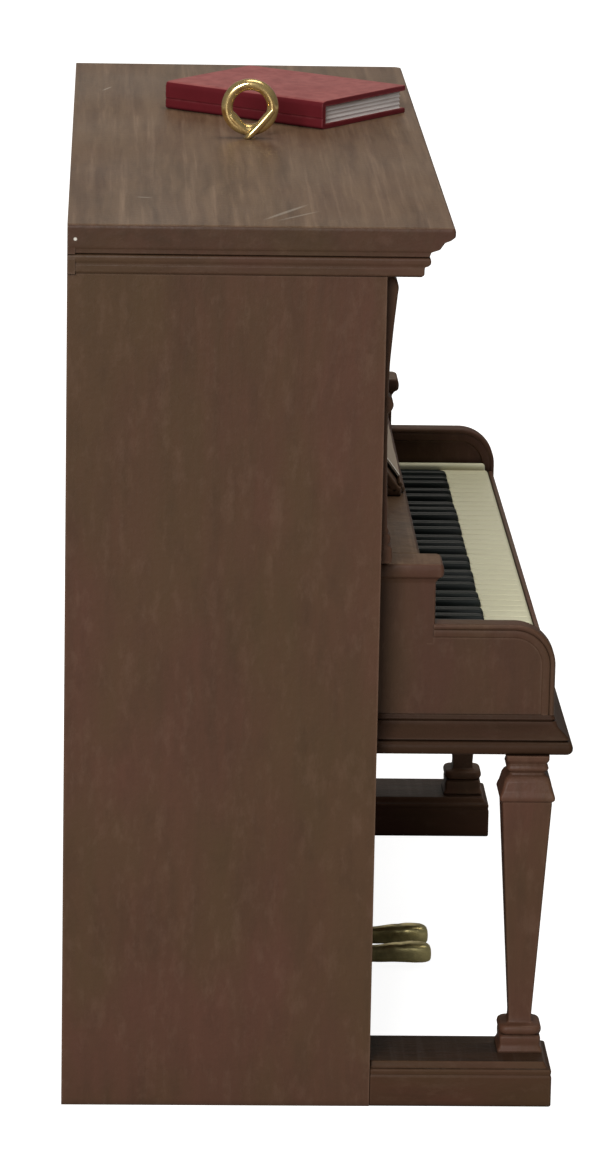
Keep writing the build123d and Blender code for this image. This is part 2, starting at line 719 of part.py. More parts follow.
def toe():
    """Bass toe block, coved along its top edges."""
    x0, x1 = -SIDE_X, -SIDE_X + TOE_WIDTH
    low = block((x0, x1), (TOE_FRONT, CASE_FRONT), (0, TOE_HEIGHT - TOE_COVE))
    foot = (x0, x1, TOE_FRONT, CASE_FRONT)
    head = (x0 + TOE_COVE, x1 - TOE_COVE, TOE_FRONT + TOE_COVE, CASE_FRONT)
    cove = frustum(foot, head, (TOE_HEIGHT - TOE_COVE, TOE_HEIGHT))
    return low + cove


# ---------------------------------------------------------------- pedals
def pedal_places():
    """X of the two pedals."""
    return (PEDAL_CENTRE - PEDAL_PITCH / 2, PEDAL_CENTRE + PEDAL_PITCH / 2)


def pedal(x):
    """Pedal: slim root that widens to a blunt round toe, pegged into the bottom board."""
    tip = CASE_FRONT - PEDAL_PROUD
    r, w = PEDAL_ROOT / 2, PEDAL_WIDTH / 2
    reach = BOARD_FRONT - tip
    edge = Spline(
        (x + r, BOARD_FRONT - GAP),
        (x + r + 0.1, BOARD_FRONT - 0.25 * reach),
        (x + w - 0.08, BOARD_FRONT - 0.62 * reach),
        (x + w - 0.1, tip + 1.1),
        (x, tip),
        (x - w + 0.1, tip + 1.1),
        (x - w + 0.08, BOARD_FRONT - 0.62 * reach),
        (x - r - 0.1, BOARD_FRONT - 0.25 * reach),
        (x - r, BOARD_FRONT - GAP),
        tangents=[(0, -1, 0), (0, 1, 0)],
    )
    root = Line((x - r, BOARD_FRONT - GAP), (x + r, BOARD_FRONT - GAP))
    plan = make_face(Curve() + [edge, root])
    body = extrude(Plane.XY.offset(PEDAL_LIFT) * plan, amount=PEDAL_THICKNESS)
    rims = body.edges().filter_by(GeomType.BSPLINE)
    body = fillet(rims, PEDAL_WIDTH * 0.16)
    peg = rod(PEDAL_PEG, (x, BOARD_FRONT - 1.0, WALL / 2), 1.0 + PEG_LENGTH, "Y")
    return body + peg


# ---------------------------------------------------------------- hanging eye
def hanging_eye():
    """Wire ring with a straight shank that turns in its socket."""
    ring_radius = EYE_OUTER - EYE_WIRE
    ring = Pos(0, EYE_Y, LID_TOP + EYE_CENTRE) * Rot(0, 90, 0) * Torus(ring_radius, EYE_WIRE)
    shank = rod(EYE_WIRE, (0, EYE_Y, LID_TOP - EYE_SHANK), EYE_SHANK + EYE_CENTRE - ring_radius)
    return ring + shank


def eye_socket():
    """Bush under the lid that holds the shank, with a flange below."""
    top = LID_TOP - LID_SKIN
    bottom = LID_TOP - EYE_SHANK
    body = rod(SOCKET_RADIUS, (0, EYE_Y, bottom), top - bottom)
    flange_start = (0, EYE_Y, LID_BOTTOM - FLANGE_THICKNESS)
    flange = rod(SOCKET_RADIUS + SOCKET_FLANGE, flange_start, FLANGE_THICKNESS)
    bore = rod(EYE_WIRE + RUNNING, (0, EYE_Y, bottom - 1), EYE_SHANK + 1)
    return body + flange - bore


# ---------------------------------------------------------------- book
def book_place(shape):
    """Lays a shape on the lid; its local origin is the near corner of the spine."""
    return Location((BOOK_X, BOOK_Y, LID_TOP), (0, 0, BOOK_TURN)) * shape


def book_cover():
    """Case binding: spine and two boards."""
    inner = BOOK_THICKNESS - BOOK_BOARD
    whole = block((0, BOOK_WIDTH), (0, BOOK_LENGTH), (0, BOOK_THICKNESS))
    hollow = block((BOOK_BOARD, BOOK_WIDTH + 1), (-1, BOOK_LENGTH + 1), (BOOK_BOARD, inner))
    return book_place(whole - hollow)


def book_pages():
    """Block of pages between the boards."""
    pages = block(
        (BOOK_BOARD, BOOK_WIDTH - BOOK_SQUARE),
        (BOOK_SQUARE, BOOK_LENGTH - BOOK_SQUARE),
        (BOOK_BOARD, BOOK_THICKNESS - BOOK_BOARD),
    )
    return book_place(pages)


# ---------------------------------------------------------------- rear cover
def grille_places():
    """Centres of the sound holes: one, then rings of six, twelve and eighteen."""
    step = SPEAKER_RADIUS * 0.75 / GRILLE_RINGS
    places = [(0.0, SPEAKER_Z)]
    for ring in range(1, GRILLE_RINGS + 1):
        for i in range(6 * ring):
            angle = 2 * pi * i / (6 * ring)
            places.append((ring * step * cos(angle), SPEAKER_Z + ring * step * sin(angle)))
    return places


def rear_cover():
    """Cover between the side panels: sound holes, button hole, battery opening, screw seats."""
    cover = block((-COVER_HALF, COVER_HALF), (COVER_FRONT, COVER_BACK), (COVER_LOW, COVER_HIGH))
    start = COVER_FRONT - 1
    cuts = [rod(GRILLE_HOLE, (x, start, z), COVER + 2, "Y") for x, z in grille_places()]
    cuts.append(rod(BUTTON_RADIUS + RUNNING * 2, (BUTTON_X, start, BUTTON_Z), COVER + 2, "Y"))
    for x, z in screw_places():
        cuts.append(rod(SCREW_SHANK + RUNNING, (x, start, z), COVER + 2, "Y"))
        cuts.append(rod(SCREW_HEAD + SEAT_CLEAR, (x, COVER_BACK - SCREW_HEAD_HEIGHT, z), COVER, "Y"))
    cuts.append(
        block(
            (DOOR_LEFT, DOOR_RIGHT),
            (start, COVER_BACK + 1),
            (TRAY_Z - TRAY_TALL + TRAY_WALL, TRAY_Z + TRAY_TALL - TRAY_WALL),
        )
    )
    cover -= cuts
    for x, z in board_screw_places():
        cover += rod(1.8, (x, BOARD_BACK_Y, z), BOARD_DEPTH, "Y")
        cover -= rod(SCREW_SHANK + RUNNING, (x, BOARD_BACK_Y - 1, z), BOARD_DEPTH - 1, "Y")
    return cover


def cover_screws():
    """Four screws from the rear into the posts of the side panels."""
    screws = []
    for x, z in screw_places():
        head = rod(SCREW_HEAD, (x, COVER_BACK - SCREW_HEAD_HEIGHT, z), SCREW_HEAD_HEIGHT, "Y")
        shank = rod(SCREW_SHANK, (x, COVER_BACK - SCREW_LENGTH, z), SCREW_LENGTH - 0.1, "Y")
        screws.append(head + shank - cross_slot(x, z))
    return group(screws)


def cross_slot(x, z):
    """The cross in a screw's head, cut from the cover's outer face."""
    reach = SCREW_HEAD * SLOT_REACH
    depth = (COVER_BACK - SLOT_DEPTH, COVER_BACK + 1)
    level = block((x - reach, x + reach), depth, (z - SLOT_WIDTH / 2, z + SLOT_WIDTH / 2))
    upright = block((x - SLOT_WIDTH / 2, x + SLOT_WIDTH / 2), depth, (z - reach, z + reach))
    return level + upright


# ---------------------------------------------------------------- speaker
def speaker_frame():
    """Rim and basket, glued to the cover's inner face."""
    rim = rod(SPEAKER_RADIUS, (0, COVER_FRONT - RIM_DEPTH, SPEAKER_Z), RIM_DEPTH, "Y")
    rim -= rod(SPEAKER_RADIUS - RIM_LAND, (0, COVER_FRONT - 2 * RIM_DEPTH, SPEAKER_Z), 3 * RIM_DEPTH, "Y")
    back = COVER_FRONT - SPEAKER_DEPTH
    small = SPEAKER_RADIUS * 0.55
    depth = SPEAKER_DEPTH - RIM_DEPTH
    outer = basket_cone(SPEAKER_RADIUS, small, depth)
    inner = basket_cone(SPEAKER_RADIUS - RIM_LAND, small - BASKET_WALL, depth - BASKET_WALL)
    bore = rod(SPEAKER_RADIUS * 0.25, (0, back - 1, SPEAKER_Z), 3.0, "Y")
    tag = block(
        (-SPEAKER_RADIUS - TAG_REACH, -SPEAKER_RADIUS * 0.93),
        (COVER_FRONT - 2.8, COVER_FRONT),
        (SPEAKER_Z - 2.0, SPEAKER_Z + 2.0),
    )
    return rim + (outer - inner) - bore + tag


def basket_cone(large, small, depth):
    """A solid cone behind the speaker's rim, narrowing away from the cover."""
    along = (Align.CENTER, Align.CENTER, Align.MIN)
    place = Pos(0, COVER_FRONT - RIM_DEPTH, SPEAKER_Z) * Rot(90, 0, 0)
    return place * Cone(large, small, depth, align=along)


def speaker_cone():
    """Thin cone with a dust cap, inside the rim."""
    radius = SPEAKER_RADIUS - 1.8
    sketch = Polyline(
        (0, 0.9), (3.2, 0.9), (radius - 1.0, 2.6), (radius, 2.6), (radius, 3.0),
        (radius - 1.2, 3.0), (3.4, 1.3), (0, 1.3), close=True,
    )
    turned = revolve(make_face(sketch), axis=Axis.Y)
    return Pos(0, COVER_FRONT - 3.6, SPEAKER_Z) * turned


def speaker_magnet():
    """Magnet behind the basket."""
    back = COVER_FRONT - SPEAKER_DEPTH
    return rod(SPEAKER_RADIUS * 0.5, (0, back - 2.2, SPEAKER_Z), 2.2, "Y")


# ---------------------------------------------------------------- battery case
def battery_case():
    """Open tray for the button cells with a boss for the door's screw."""
    front = CELL_Y - CELL_RADIUS - TRAY_FIT - TRAY_WALL
    tray = block(
        (-TRAY_HALF, TRAY_HALF), (front, COVER_FRONT), (TRAY_Z - TRAY_TALL, TRAY_Z + TRAY_TALL)
    )
    bay = block(
        (-TRAY_HALF + TRAY_WALL, TRAY_HALF - TRAY_WALL),
        (front + TRAY_WALL, COVER_FRONT + 1),
        (TRAY_Z - TRAY_TALL + TRAY_WALL, TRAY_Z + TRAY_TALL - TRAY_WALL),
    )
    lug = block(
        (TRAY_HALF, DOOR_RIGHT), (COVER_FRONT - 5.5, COVER_FRONT), (TRAY_Z - 3.0, TRAY_Z + 3.0)
    )
    pilot = rod(SCREW_SHANK + RUNNING, (DOOR_SCREW_X, COVER_FRONT - 5.0, TRAY_Z), 6.0, "Y")
    return tray - bay + lug - pilot


def button_cells():
    """Three button cells in a row along X, each with its raised pole."""
    cells = []
    start = -CELLS * CELL_LENGTH / 2
    for i in range(CELLS):
        x = start + i * CELL_LENGTH
        can = rod(CELL_RADIUS, (x + 0.6, CELL_Y, TRAY_Z), CELL_LENGTH - 0.65, "X")
        pole = rod(CELL_RADIUS - 1.2, (x + 0.05, CELL_Y, TRAY_Z), 0.6, "X")
        cells.append(can + pole)
    return group(cells)


def battery_contacts():
    """Sheet contacts at the two ends of the bay."""
    contacts = []
    for side in (-1, 1):
        outer = side * (TRAY_HALF - TRAY_WALL)
        inner = outer - side * (TRAY_FIT - 0.05)
        contacts.append(
            block(
                sorted((outer, inner)),
                (CELL_Y - 3.5, CELL_Y + 3.5),
                (TRAY_Z - 3.5, TRAY_Z + 3.5),
            )
        )
    return group(contacts)


def battery_door():
    """Door in the cover's opening, held by one screw."""
    z0 = TRAY_Z - TRAY_TALL + TRAY_WALL + DOOR_GAP
    z1 = TRAY_Z + TRAY_TALL - TRAY_WALL - DOOR_GAP
    door = block(
        (DOOR_LEFT + DOOR_GAP, DOOR_RIGHT - DOOR_GAP), (COVER_FRONT + DOOR_GAP, COVER_BACK), (z0, z1)
    )
    ribs = [
        block((x - 0.3, x + 0.3), (COVER_BACK - 0.3, COVER_BACK + 1), (z0 + 2, z1 - 2))
        for x in (DOOR_LEFT + 2.2 + 1.3 * i for i in range(4))
    ]
    door -= ribs
    door -= rod(SCREW_SHANK + RUNNING, (DOOR_SCREW_X, COVER_FRONT - 1, TRAY_Z), COVER + 2, "Y")
    seat = SCREW_HEAD + RUNNING
    door -= rod(seat, (DOOR_SCREW_X, COVER_BACK - SCREW_HEAD_HEIGHT - RUNNING, TRAY_Z), COVER, "Y")
    return door


def door_screw():
    """Captive screw of the battery door."""
    x = DOOR_SCREW_X
    head = rod(SCREW_HEAD, (x, COVER_BACK - SCREW_HEAD_HEIGHT, TRAY_Z), SCREW_HEAD_HEIGHT - 0.05, "Y")
    shank = rod(SCREW_SHANK, (x, COVER_FRONT - 4.2, TRAY_Z), COVER + 4.2 - 0.1, "Y")
    return head + shank - cross_slot(x, TRAY_Z)


# ---------------------------------------------------------------- button and board
def play_button():
    """Round button with a flange behind the cover and a stem towards its switch."""
    inner = COVER_FRONT - COVER_CLEAR
    cap = rod(BUTTON_RADIUS, (BUTTON_X, inner, BUTTON_Z), COVER_BACK + BUTTON_PROUD - inner, "Y")
    rim = cap.faces().sort_by(Axis.Y)[-1].edges()
    cap = fillet(rim, 0.4)
    flange = rod(BUTTON_RADIUS + BUTTON_FLANGE, (BUTTON_X, inner - 0.8, BUTTON_Z), 0.8, "Y")
    stem = rod(STEM_RADIUS, (BUTTON_X, inner - STEM_REACH, BUTTON_Z), STEM_REACH - 0.6, "Y")
    return cap + flange + stem


def board_screw_places():
    """Axes of the two screws that hold the circuit board."""
    half = BOARD_HEIGHT / 2 - 3
    return [(BUTTON_X, BUTTON_Z - half), (BUTTON_X, BUTTON_Z + half)]


def circuit_board():
    """Circuit board on the cover's two pillars."""
    half = BOARD_WIDTH / 2
    board = block(
        (BUTTON_X - half, BUTTON_X + half),
        (BOARD_BACK_Y - BOARD_THICKNESS, BOARD_BACK_Y),
        (BUTTON_Z - BOARD_HEIGHT / 2, BUTTON_Z + BOARD_HEIGHT / 2),
    )
    for x, z in board_screw_places():
        board -= rod(SCREW_SHANK + RUNNING, (x, BOARD_BACK_Y - 3, z), 5, "Y")
    return board


def board_screws():
    """Two screws through the board into the pillars."""
    screws = []
    for x, z in board_screw_places():
        face = BOARD_BACK_Y - BOARD_THICKNESS
        head = rod(SCREW_HEAD, (x, face - SCREW_HEAD_HEIGHT, z), SCREW_HEAD_HEIGHT, "Y")
        screws.append(head + rod(SCREW_SHANK, (x, face - 0.1, z), 4.6, "Y"))
    return group(screws)


def press_switch():
    """Switch under the button, on the board's rear face."""
    top = COVER_FRONT - COVER_CLEAR - STEM_REACH - BUTTON_TRAVEL - 0.2
    half = SWITCH_SIDE / 2
    body = block(
        (BUTTON_X - half, BUTTON_X + half),
        (BOARD_BACK_Y, top - 0.6),
        (BUTTON_Z - half, BUTTON_Z + half),
    )
    return body + rod(1.6, (BUTTON_X, top - 0.7, BUTTON_Z), 0.7, "Y")


def sound_chip():
    """Potted sound chip, a low round cap on the board."""
    cap = rod(3.2, (BUTTON_X - 6.5, BOARD_BACK_Y, BUTTON_Z - 8), 1.4, "Y")
    return fillet(cap.faces().sort_by(Axis.Y)[-1].edges(), 0.6)


def board_parts():
    """Capacitor, resistors and two connectors on the board."""
    y = BOARD_BACK_Y
    parts = [rod(2.0, (BUTTON_X + 7.5, y, BUTTON_Z + 7), 5.0, "Y")]
    for i in range(3):
        z = BUTTON_Z - 4.0 - 2.6 * i
        parts.append(block((BUTTON_X + 4, BUTTON_X + 7), (y, y + 0.8), (z, z + 1.4)))
    for z in (BUTTON_Z - 12.5, BUTTON_Z + 11.5):
        parts.append(block((BUTTON_X + 6.5, BUTTON_X + 10.5), (y, y + 2.4), (z - 2, z + 2)))
    return group(parts)


def lead(points):
    """A thin lead along straight runs joined by arcs."""
    radii = []
    for a, b, c in zip(points, points[1:], points[2:]):
        first, second = Vector(b) - Vector(a), Vector(c) - Vector(b)
        half_turn = radians(first.get_angle(second)) / 2
        radii.append(0.4 * min(first.length, second.length) * cos(half_turn) / sin(half_turn))
    path = FilletPolyline(*points, radius=radii)
    section = Plane(path @ 0, z_dir=path % 0) * Circle(LEAD_RADIUS)
    return sweep(section, path=path)


def speaker_leads():
    """Two leads, side by side, from the board's upper connector to the speaker's tag."""
    leads = []
    x, z = BUTTON_X + 10.5 + GAP, BUTTON_Z + 11.5
    end = -SPEAKER_RADIUS - TAG_REACH - GAP
    for offset in (-LEAD_OFFSET, LEAD_OFFSET):
        y = BOARD_BACK_Y + 1.2 + offset
        end_y = COVER_FRONT - 1.4 + offset
        leads.append(
            lead([
                (x, y, z),
                (x + 2.2, y, z),
                (x + 2.5, (y + end_y) / 2, (z + SPEAKER_Z) / 2),
                (end - 2.4, end_y, SPEAKER_Z),
                (end, end_y, SPEAKER_Z),
            ])
        )
    return group(leads)


def battery_leads():
    """Two leads, side by side, from the board's lower connector to the battery case."""
    leads = []
    x, z = BUTTON_X + 10.5 + GAP, BUTTON_Z - 12.5
    end, end_z = -TRAY_HALF - GAP, TRAY_Z + 1.0
    for offset in (-LEAD_OFFSET, LEAD_OFFSET):
        y = BOARD_BACK_Y + 1.2 + offset
        leads.append(
            lead([
                (x, y, z),
                (x + 2.6, y, z),
                (x + 3.2, y, z - 5.0),
                (end - 3.2, y, end_z + 5.0),
                (end - 2.6, y, end_z),
                (end, y, end_z),
            ])
        )
    return group(leads)


# ---------------------------------------------------------------- nodes
def build():
    """Every sub-part by the name of its node."""
    pedal_x = pedal_places()
    nodes = {
        "bottom_board": bottom_board(),
        "lid": lid(),
        "cornice": cornice(),
        "front_board": front_board(),
        "upper_front_panel": upper_front_panel(),
        "lower_front_panel": lower_front_panel(),
        "key_bed": key_bed(),
        "shelf": shelf(),
        "fallboard": fallboard(),
        "white_keyboard": white_keyboard(),
        "black_keys": black_keys(),
        "key_slip": key_slip(),
        "music_desk": music_desk(),
        "song_sheet": song_sheet(),
        "pedal_left": pedal(pedal_x[0]),
        "pedal_right": pedal(pedal_x[1]),
        "hanging_eye": hanging_eye(),
        "eye_socket": eye_socket(),
        "book_cover": book_cover(),
        "book_pages": book_pages(),
        "rear_cover": rear_cover(),
        "cover_screws": cover_screws(),
        "speaker_frame": speaker_frame(),
        "speaker_cone": speaker_cone(),
        "speaker_magnet": speaker_magnet(),
        "battery_case": battery_case(),
        "button_cells": button_cells(),
        "battery_contacts": battery_contacts(),
        "battery_door": battery_door(),
        "door_screw": door_screw(),
        "play_button": play_button(),
        "circuit_board": circuit_board(),
        "board_screws": board_screws(),
        "press_switch": press_switch(),
        "sound_chip": sound_chip(),
        "board_parts": board_parts(),
        "speaker_leads": speaker_leads(),
        "battery_leads": battery_leads(),
    }
    pairs = {
        "side_panel": side_panel(),
        "pilaster": pilaster(),
        "arm": arm(),
        "key_block": key_block(),
        "leg": leg(),
        "toe": toe(),
    }
    for name, shape in pairs.items():
        nodes[name + "_left"] = shape
        nodes[name + "_right"] = mirrored(shape)
    return nodes


os.makedirs("parts", exist_ok=True)
for node, shape in build().items():
    export_step(shape, f"parts/{node}.step")
    print(node, len(shape.solids()), round(shape.volume, 3))
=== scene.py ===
import logging
from dataclasses import dataclass, field
from enum import Enum
from math import cos, pi, radians, sin
from typing import Callable, Optional, Sequence, Union

import bpy
import numpy as np
from mathutils import Matrix, Vector


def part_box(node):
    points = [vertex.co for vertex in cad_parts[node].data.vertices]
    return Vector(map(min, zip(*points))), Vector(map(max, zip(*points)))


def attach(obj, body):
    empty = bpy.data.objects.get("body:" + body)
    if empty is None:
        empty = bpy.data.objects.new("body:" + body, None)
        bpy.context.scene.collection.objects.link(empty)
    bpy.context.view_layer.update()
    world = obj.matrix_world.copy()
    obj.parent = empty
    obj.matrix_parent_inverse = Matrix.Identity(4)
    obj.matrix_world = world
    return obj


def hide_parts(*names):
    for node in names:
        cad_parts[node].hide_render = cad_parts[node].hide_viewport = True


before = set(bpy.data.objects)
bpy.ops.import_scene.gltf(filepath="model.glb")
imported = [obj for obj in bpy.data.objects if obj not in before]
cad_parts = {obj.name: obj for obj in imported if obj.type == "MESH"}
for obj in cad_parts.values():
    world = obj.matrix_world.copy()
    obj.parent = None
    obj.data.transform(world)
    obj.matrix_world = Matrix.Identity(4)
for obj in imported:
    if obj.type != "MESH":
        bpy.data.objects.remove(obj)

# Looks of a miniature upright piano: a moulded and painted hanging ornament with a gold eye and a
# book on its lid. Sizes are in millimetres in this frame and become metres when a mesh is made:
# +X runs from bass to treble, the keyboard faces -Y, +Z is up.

LOG = logging.getLogger("piano")
MM = 0.001
Array = np.ndarray
Size = Union[float, Array]
Rows = tuple[tuple[float, ...], ...]
Triple = tuple[float, float, float]
Colour = Triple


class Side(Enum):
    """The two ends of the piano, by the sign of X."""

    BASS = -1
    TREBLE = 1

    @property
    def suffix(self) -> str:
        """Ending of the names of the nodes on this side."""
        return "left" if self is Side.BASS else "right"


# ---------------------------------------------------------------- surfaces
def node_box(node: str) -> tuple[Array, Array]:
    """Corners of a CAD node at rest.

    Args:
        node: Name of the node.

    Returns:
        Lowest and highest corner in mm.
    """
    low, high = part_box(node)
    return np.array(low) / MM, np.array(high) / MM


def soften(path: Array, radius: float, steps: int = 4) -> Array:
    """Rounds the inner corners of a path in any number of dimensions.

    Each corner gives way to a quadratic curve: it starts and ends at radius from the corner, or at
    0.45 of the shorter leg, and has the corner as its control point.

    Args:
        path: Points, one row each.
        radius: Distance from a corner at which its curve starts.
        steps: Pieces of each curve.

    Returns:
        The rounded path, one row per point.
    """
    path = np.asarray(path, float)
    before, corner, after = path[:-2], path[1:-1], path[2:]
    back, ahead = before - corner, after - corner
    back_length = np.linalg.norm(back, axis=1)
    ahead_length = np.linalg.norm(ahead, axis=1)
    reach = np.minimum(radius, 0.45 * np.minimum(back_length, ahead_length))
    start = corner + back * (reach / back_length)[:, None]
    end = corner + ahead * (reach / ahead_length)[:, None]
    t = np.linspace(0, 1, steps + 1)[None, :, None]
    curves = (1 - t) ** 2 * start[:, None] + 2 * t * (1 - t) * corner[:, None] + t**2 * end[:, None]
    return np.vstack([path[:1], curves.reshape(-1, path.shape[1]), path[-1:]])


class Form:
    """Vertices and faces of one piece, gathered surface by surface, in mm."""

    def __init__(self) -> None:
        """Starts with no surface."""
        self.points: list[Array] = []
        self.faces: list[tuple[int, ...]] = []
        self.count = 0

    def grid(self, points: Array, caps: bool = True) -> "Form":
        """Adds a surface from a grid of points, whose last column meets the first.

        Args:
            points: Rows of points, shape (rows, columns, 3); the columns run anticlockwise about
                the direction in which the rows climb.
            caps: Whether the first and last rows are closed with a face each.

        Returns:
            The same form.
        """
        rows, columns = points.shape[:2]
        i = np.arange(rows - 1)[:, None] * columns + self.count
        j = np.arange(columns)[None, :]
        k = (j + 1) % columns
        quads = np.stack([i + j, i + k, i + columns + k, i + columns + j], axis=-1)
        self.faces += [tuple(face) for face in quads.reshape(-1, 4).tolist()]
        if caps:
            first = np.arange(columns) + self.count
            self.faces.append(tuple(first[::-1].tolist()))
            self.faces.append(tuple((first + (rows - 1) * columns).tolist()))
        self.points.append(points.reshape(-1, 3))
        self.count += rows * columns
        return self

    def stack(self, levels: Array, arc: int = 4) -> "Form":
        """Adds a closed body of rounded rectangles, one above the other.

        Args:
            levels: Rows of (x low, x high, y low, y high, z, corner radius).
            arc: Pieces of each corner.

        Returns:
            The same form.
        """
        return self.grid(rectangles(levels, arc))

    def tube(self, path: Array, radii: Array, sides: int = 24) -> "Form":
        """Adds a round tube along a path.

        Each section is centre + radius (cos a n + sin a b), where n and b stay square to the path
        and turn as little as they can from one section to the next.

        Args:
            path: Centres of the sections.
            radii: Radius of each section.
            sides: Points round a section.

        Returns:
            The same form.
        """
        tangent = np.gradient(path, axis=0)
        tangent /= np.linalg.norm(tangent, axis=1)[:, None]
        normal = np.empty_like(path)
        guess = np.array([1.0, 0.0, 0.0])
        for i, direction in enumerate(tangent):
            guess = guess - direction * (guess @ direction)
            guess /= np.linalg.norm(guess)
            normal[i] = guess
        binormal = np.cross(tangent, normal)
        a = np.linspace(0, 2 * pi, sides, endpoint=False)[None, :, None]
        ring = np.cos(a) * normal[:, None] + np.sin(a) * binormal[:, None]
        return self.grid(path[:, None] + np.asarray(radii)[:, None, None] * ring)

    def turned(self, profile: Array, start: Sequence[float], sides: int = 24) -> "Form":
        """Adds a body turned about a line along Y.

        A point at angle a is start + (radius sin a, level, radius cos a).

        Args:
            profile: Rows of (radius, level) from the lowest level up.
            start: Point on the line at level zero.
            sides: Points round a section.

        Returns:
            The same form.
        """
        a = np.linspace(0, 2 * pi, sides, endpoint=False)
        radius, level = profile[:, :1], profile[:, 1:]
        x, y, z = start
        return self.grid(spread(x + radius * np.sin(a), y + level, z + radius * np.cos(a)))

    def mapped(self, change: Callable[[Array], Array]) -> "Form":
        """Puts every point through a function of an array of points."""
        self.points = [change(points) for points in self.points]
        return self

    def mirrored(self) -> "Form":
        """The same form at the other end of the piano, with its faces turned to point outwards."""
        self.points = [points * (-1, 1, 1) for points in self.points]
        self.faces = [face[::-1] for face in self.faces]
        return self

    def mesh(self, name: str, sharp: float) -> bpy.types.Mesh:
        """Makes the mesh in metres.

        Args:
            name: Name of the mesh.
            sharp: Angle in degrees above which an edge stays sharp.

        Returns:
            The mesh, smooth between its sharp edges.
        """
        mesh = bpy.data.meshes.new(name)
        mesh.from_pydata((np.vstack(self.points) * MM).tolist(), [], self.faces)
        mesh.validate()
        mesh.shade_smooth()
        mesh.set_sharp_from_angle(angle=radians(sharp))
        return mesh


def spread(*values: Size) -> Array:
    """Arrays and single numbers, brought to one shape and set side by side along a last axis."""
    return np.stack(np.broadcast_arrays(*values), axis=-1)


def climb(base: float, foot: Rows, top: float, head: Rows) -> Array:
    """Rows of a profile by height, from the lowest up.

    Args:
        base: Height of the foot's zero.
        foot: Rows that start with a height above the base.
        top: Height of the head's zero.
        head: Rows that start with a drop below the top.

    Returns:
        All rows, each starting with its height.
    """
    rows = np.vstack([foot, head])
    from_base = np.arange(len(rows)) < len(foot)
    rows[:, 0] = np.where(from_base, base + rows[:, 0], top - rows[:, 0])
    return rows


def rectangles(levels: Array, arc: int) -> Array:
    """Rounded rectangles from rows of (x low, x high, y low, y high, z, corner radius).

    A corner's point at angle a is its centre plus the corner's radius times (cos a, sin a).

    Args:
        levels: The rows.
        arc: Pieces of each corner.

    Returns:
        Points, shape (rows, 4 * (arc + 1), 3).
    """
    x0, x1, y0, y1, z, radius = (column[:, None, None] for column in levels.T)
    corner = np.arange(4)[None, :, None]
    angle = corner * pi / 2 + np.linspace(0, pi / 2, arc + 1)
    x = np.where(np.isin(corner, (0, 3)), x1 - radius, x0 + radius) + radius * np.cos(angle)
    y = np.where(np.isin(corner, (0, 1)), y1 - radius, y0 + radius) + radius * np.sin(angle)
    return spread(x, y, z).reshape(len(levels), -1, 3)


def brick(low: Sequence[float], high: Sequence[float], round_by: float = 0.15) -> Array:
    """Sections of a box with every edge rounded, for Form.stack along Z.

    Args:
        low: Lowest corner.
        high: Highest corner.
        round_by: Radius of the edges.

    Returns:
        Rows of (x low, x high, y low, y high, z, corner radius).
    """
    r = min(round_by, 0.45 * min(np.subtract(high, low)))
    a = np.linspace(0, pi / 2, 4)
    inset = np.concatenate([r - r * np.sin(a), (r - r * np.sin(a))[::-1]])
    z = np.concatenate([low[2] + r - r * np.cos(a), (high[2] - r + r * np.cos(a))[::-1]])
    corner = np.maximum(r - inset * 0.8, 0.02)
    return spread(low[0] + inset, high[0] - inset, low[1] + inset, high[1] - inset, z, corner)


# ---------------------------------------------------------------- shader building
Node = bpy.types.Node
Socket = bpy.types.NodeSocket
Value = Union[float, Sequence[float], Socket]
Inputs = dict[Union[str, int], Value]


class Tree:
    """Short forms for building a node tree."""

    def __init__(self, tree: bpy.types.NodeTree) -> None:
        """Keeps the tree that nodes are added to."""
        self.tree = tree

    def add(self, kind: str, inputs: Optional[Inputs] = None, **settings: object) -> Node:
        """Adds a node.

        Args:
            kind: Name of the node's type after ShaderNode.
            inputs: A value or a socket for each named or numbered input.
            settings: Attributes of the node.

        Returns:
            The node.
        """
        node = self.tree.nodes.new("ShaderNode" + kind)
        for key, setting in settings.items():
            setattr(node, key, setting)
        for key, value in (inputs or {}).items():
            self.feed(node.inputs[key], value)
        return node

    def feed(self, target: Socket, value: Value) -> None:
        """Links a socket to an input, or sets the input's own value."""
        if isinstance(value, bpy.types.NodeSocket):
            self.tree.links.new(value, target)
        elif target.type == "RGBA" and len(value) == 3:
            target.default_value = (*value, 1.0)
        else:
            target.default_value = value

    def math(self, operation: str, *values: Value) -> Socket:
        """A Math node's result."""
        return self.add("Math", dict(enumerate(values)), operation=operation).outputs[0]

    def times(self, first: Value, second: Value) -> Socket:
        """Product of two numbers."""
        return self.math("MULTIPLY", first, second)

    def vector(self, operation: str, *values: Value) -> Node:
        """A Vector Math node."""
        return self.add("VectorMath", dict(enumerate(values)), operation=operation)

    def scaled(self, vector: Value, factors: Value) -> Socket:
        """Coordinates, each times its own factor."""
        return self.vector("MULTIPLY", vector, factors).outputs[0]

    def noise(self, vector: Value, scale: Value, detail: float = 3.0, roughness: float = 0.55) -> Socket:
        """Value of a noise texture."""
        inputs = {"Vector": vector, "Scale": scale, "Detail": detail, "Roughness": roughness}
        return self.add("TexNoise", inputs).outputs[0]

    def remap(self, value: Value, low: float, high: float, first: float = 0.0, last: float = 1.0) -> Socket:
        """Linear change of range, from low to high into first to last and no further."""
        return self.add("MapRange", dict(enumerate((value, low, high, first, last))), clamp=True).outputs[0]

    def mix(self, factor: Value, first: Value, second: Value) -> Socket:
        """Mix of two colours."""
        node = self.add("Mix", {"Factor": factor}, data_type="RGBA")
        self.feed(node.inputs[6], first)
        self.feed(node.inputs[7], second)
        return node.outputs[2]


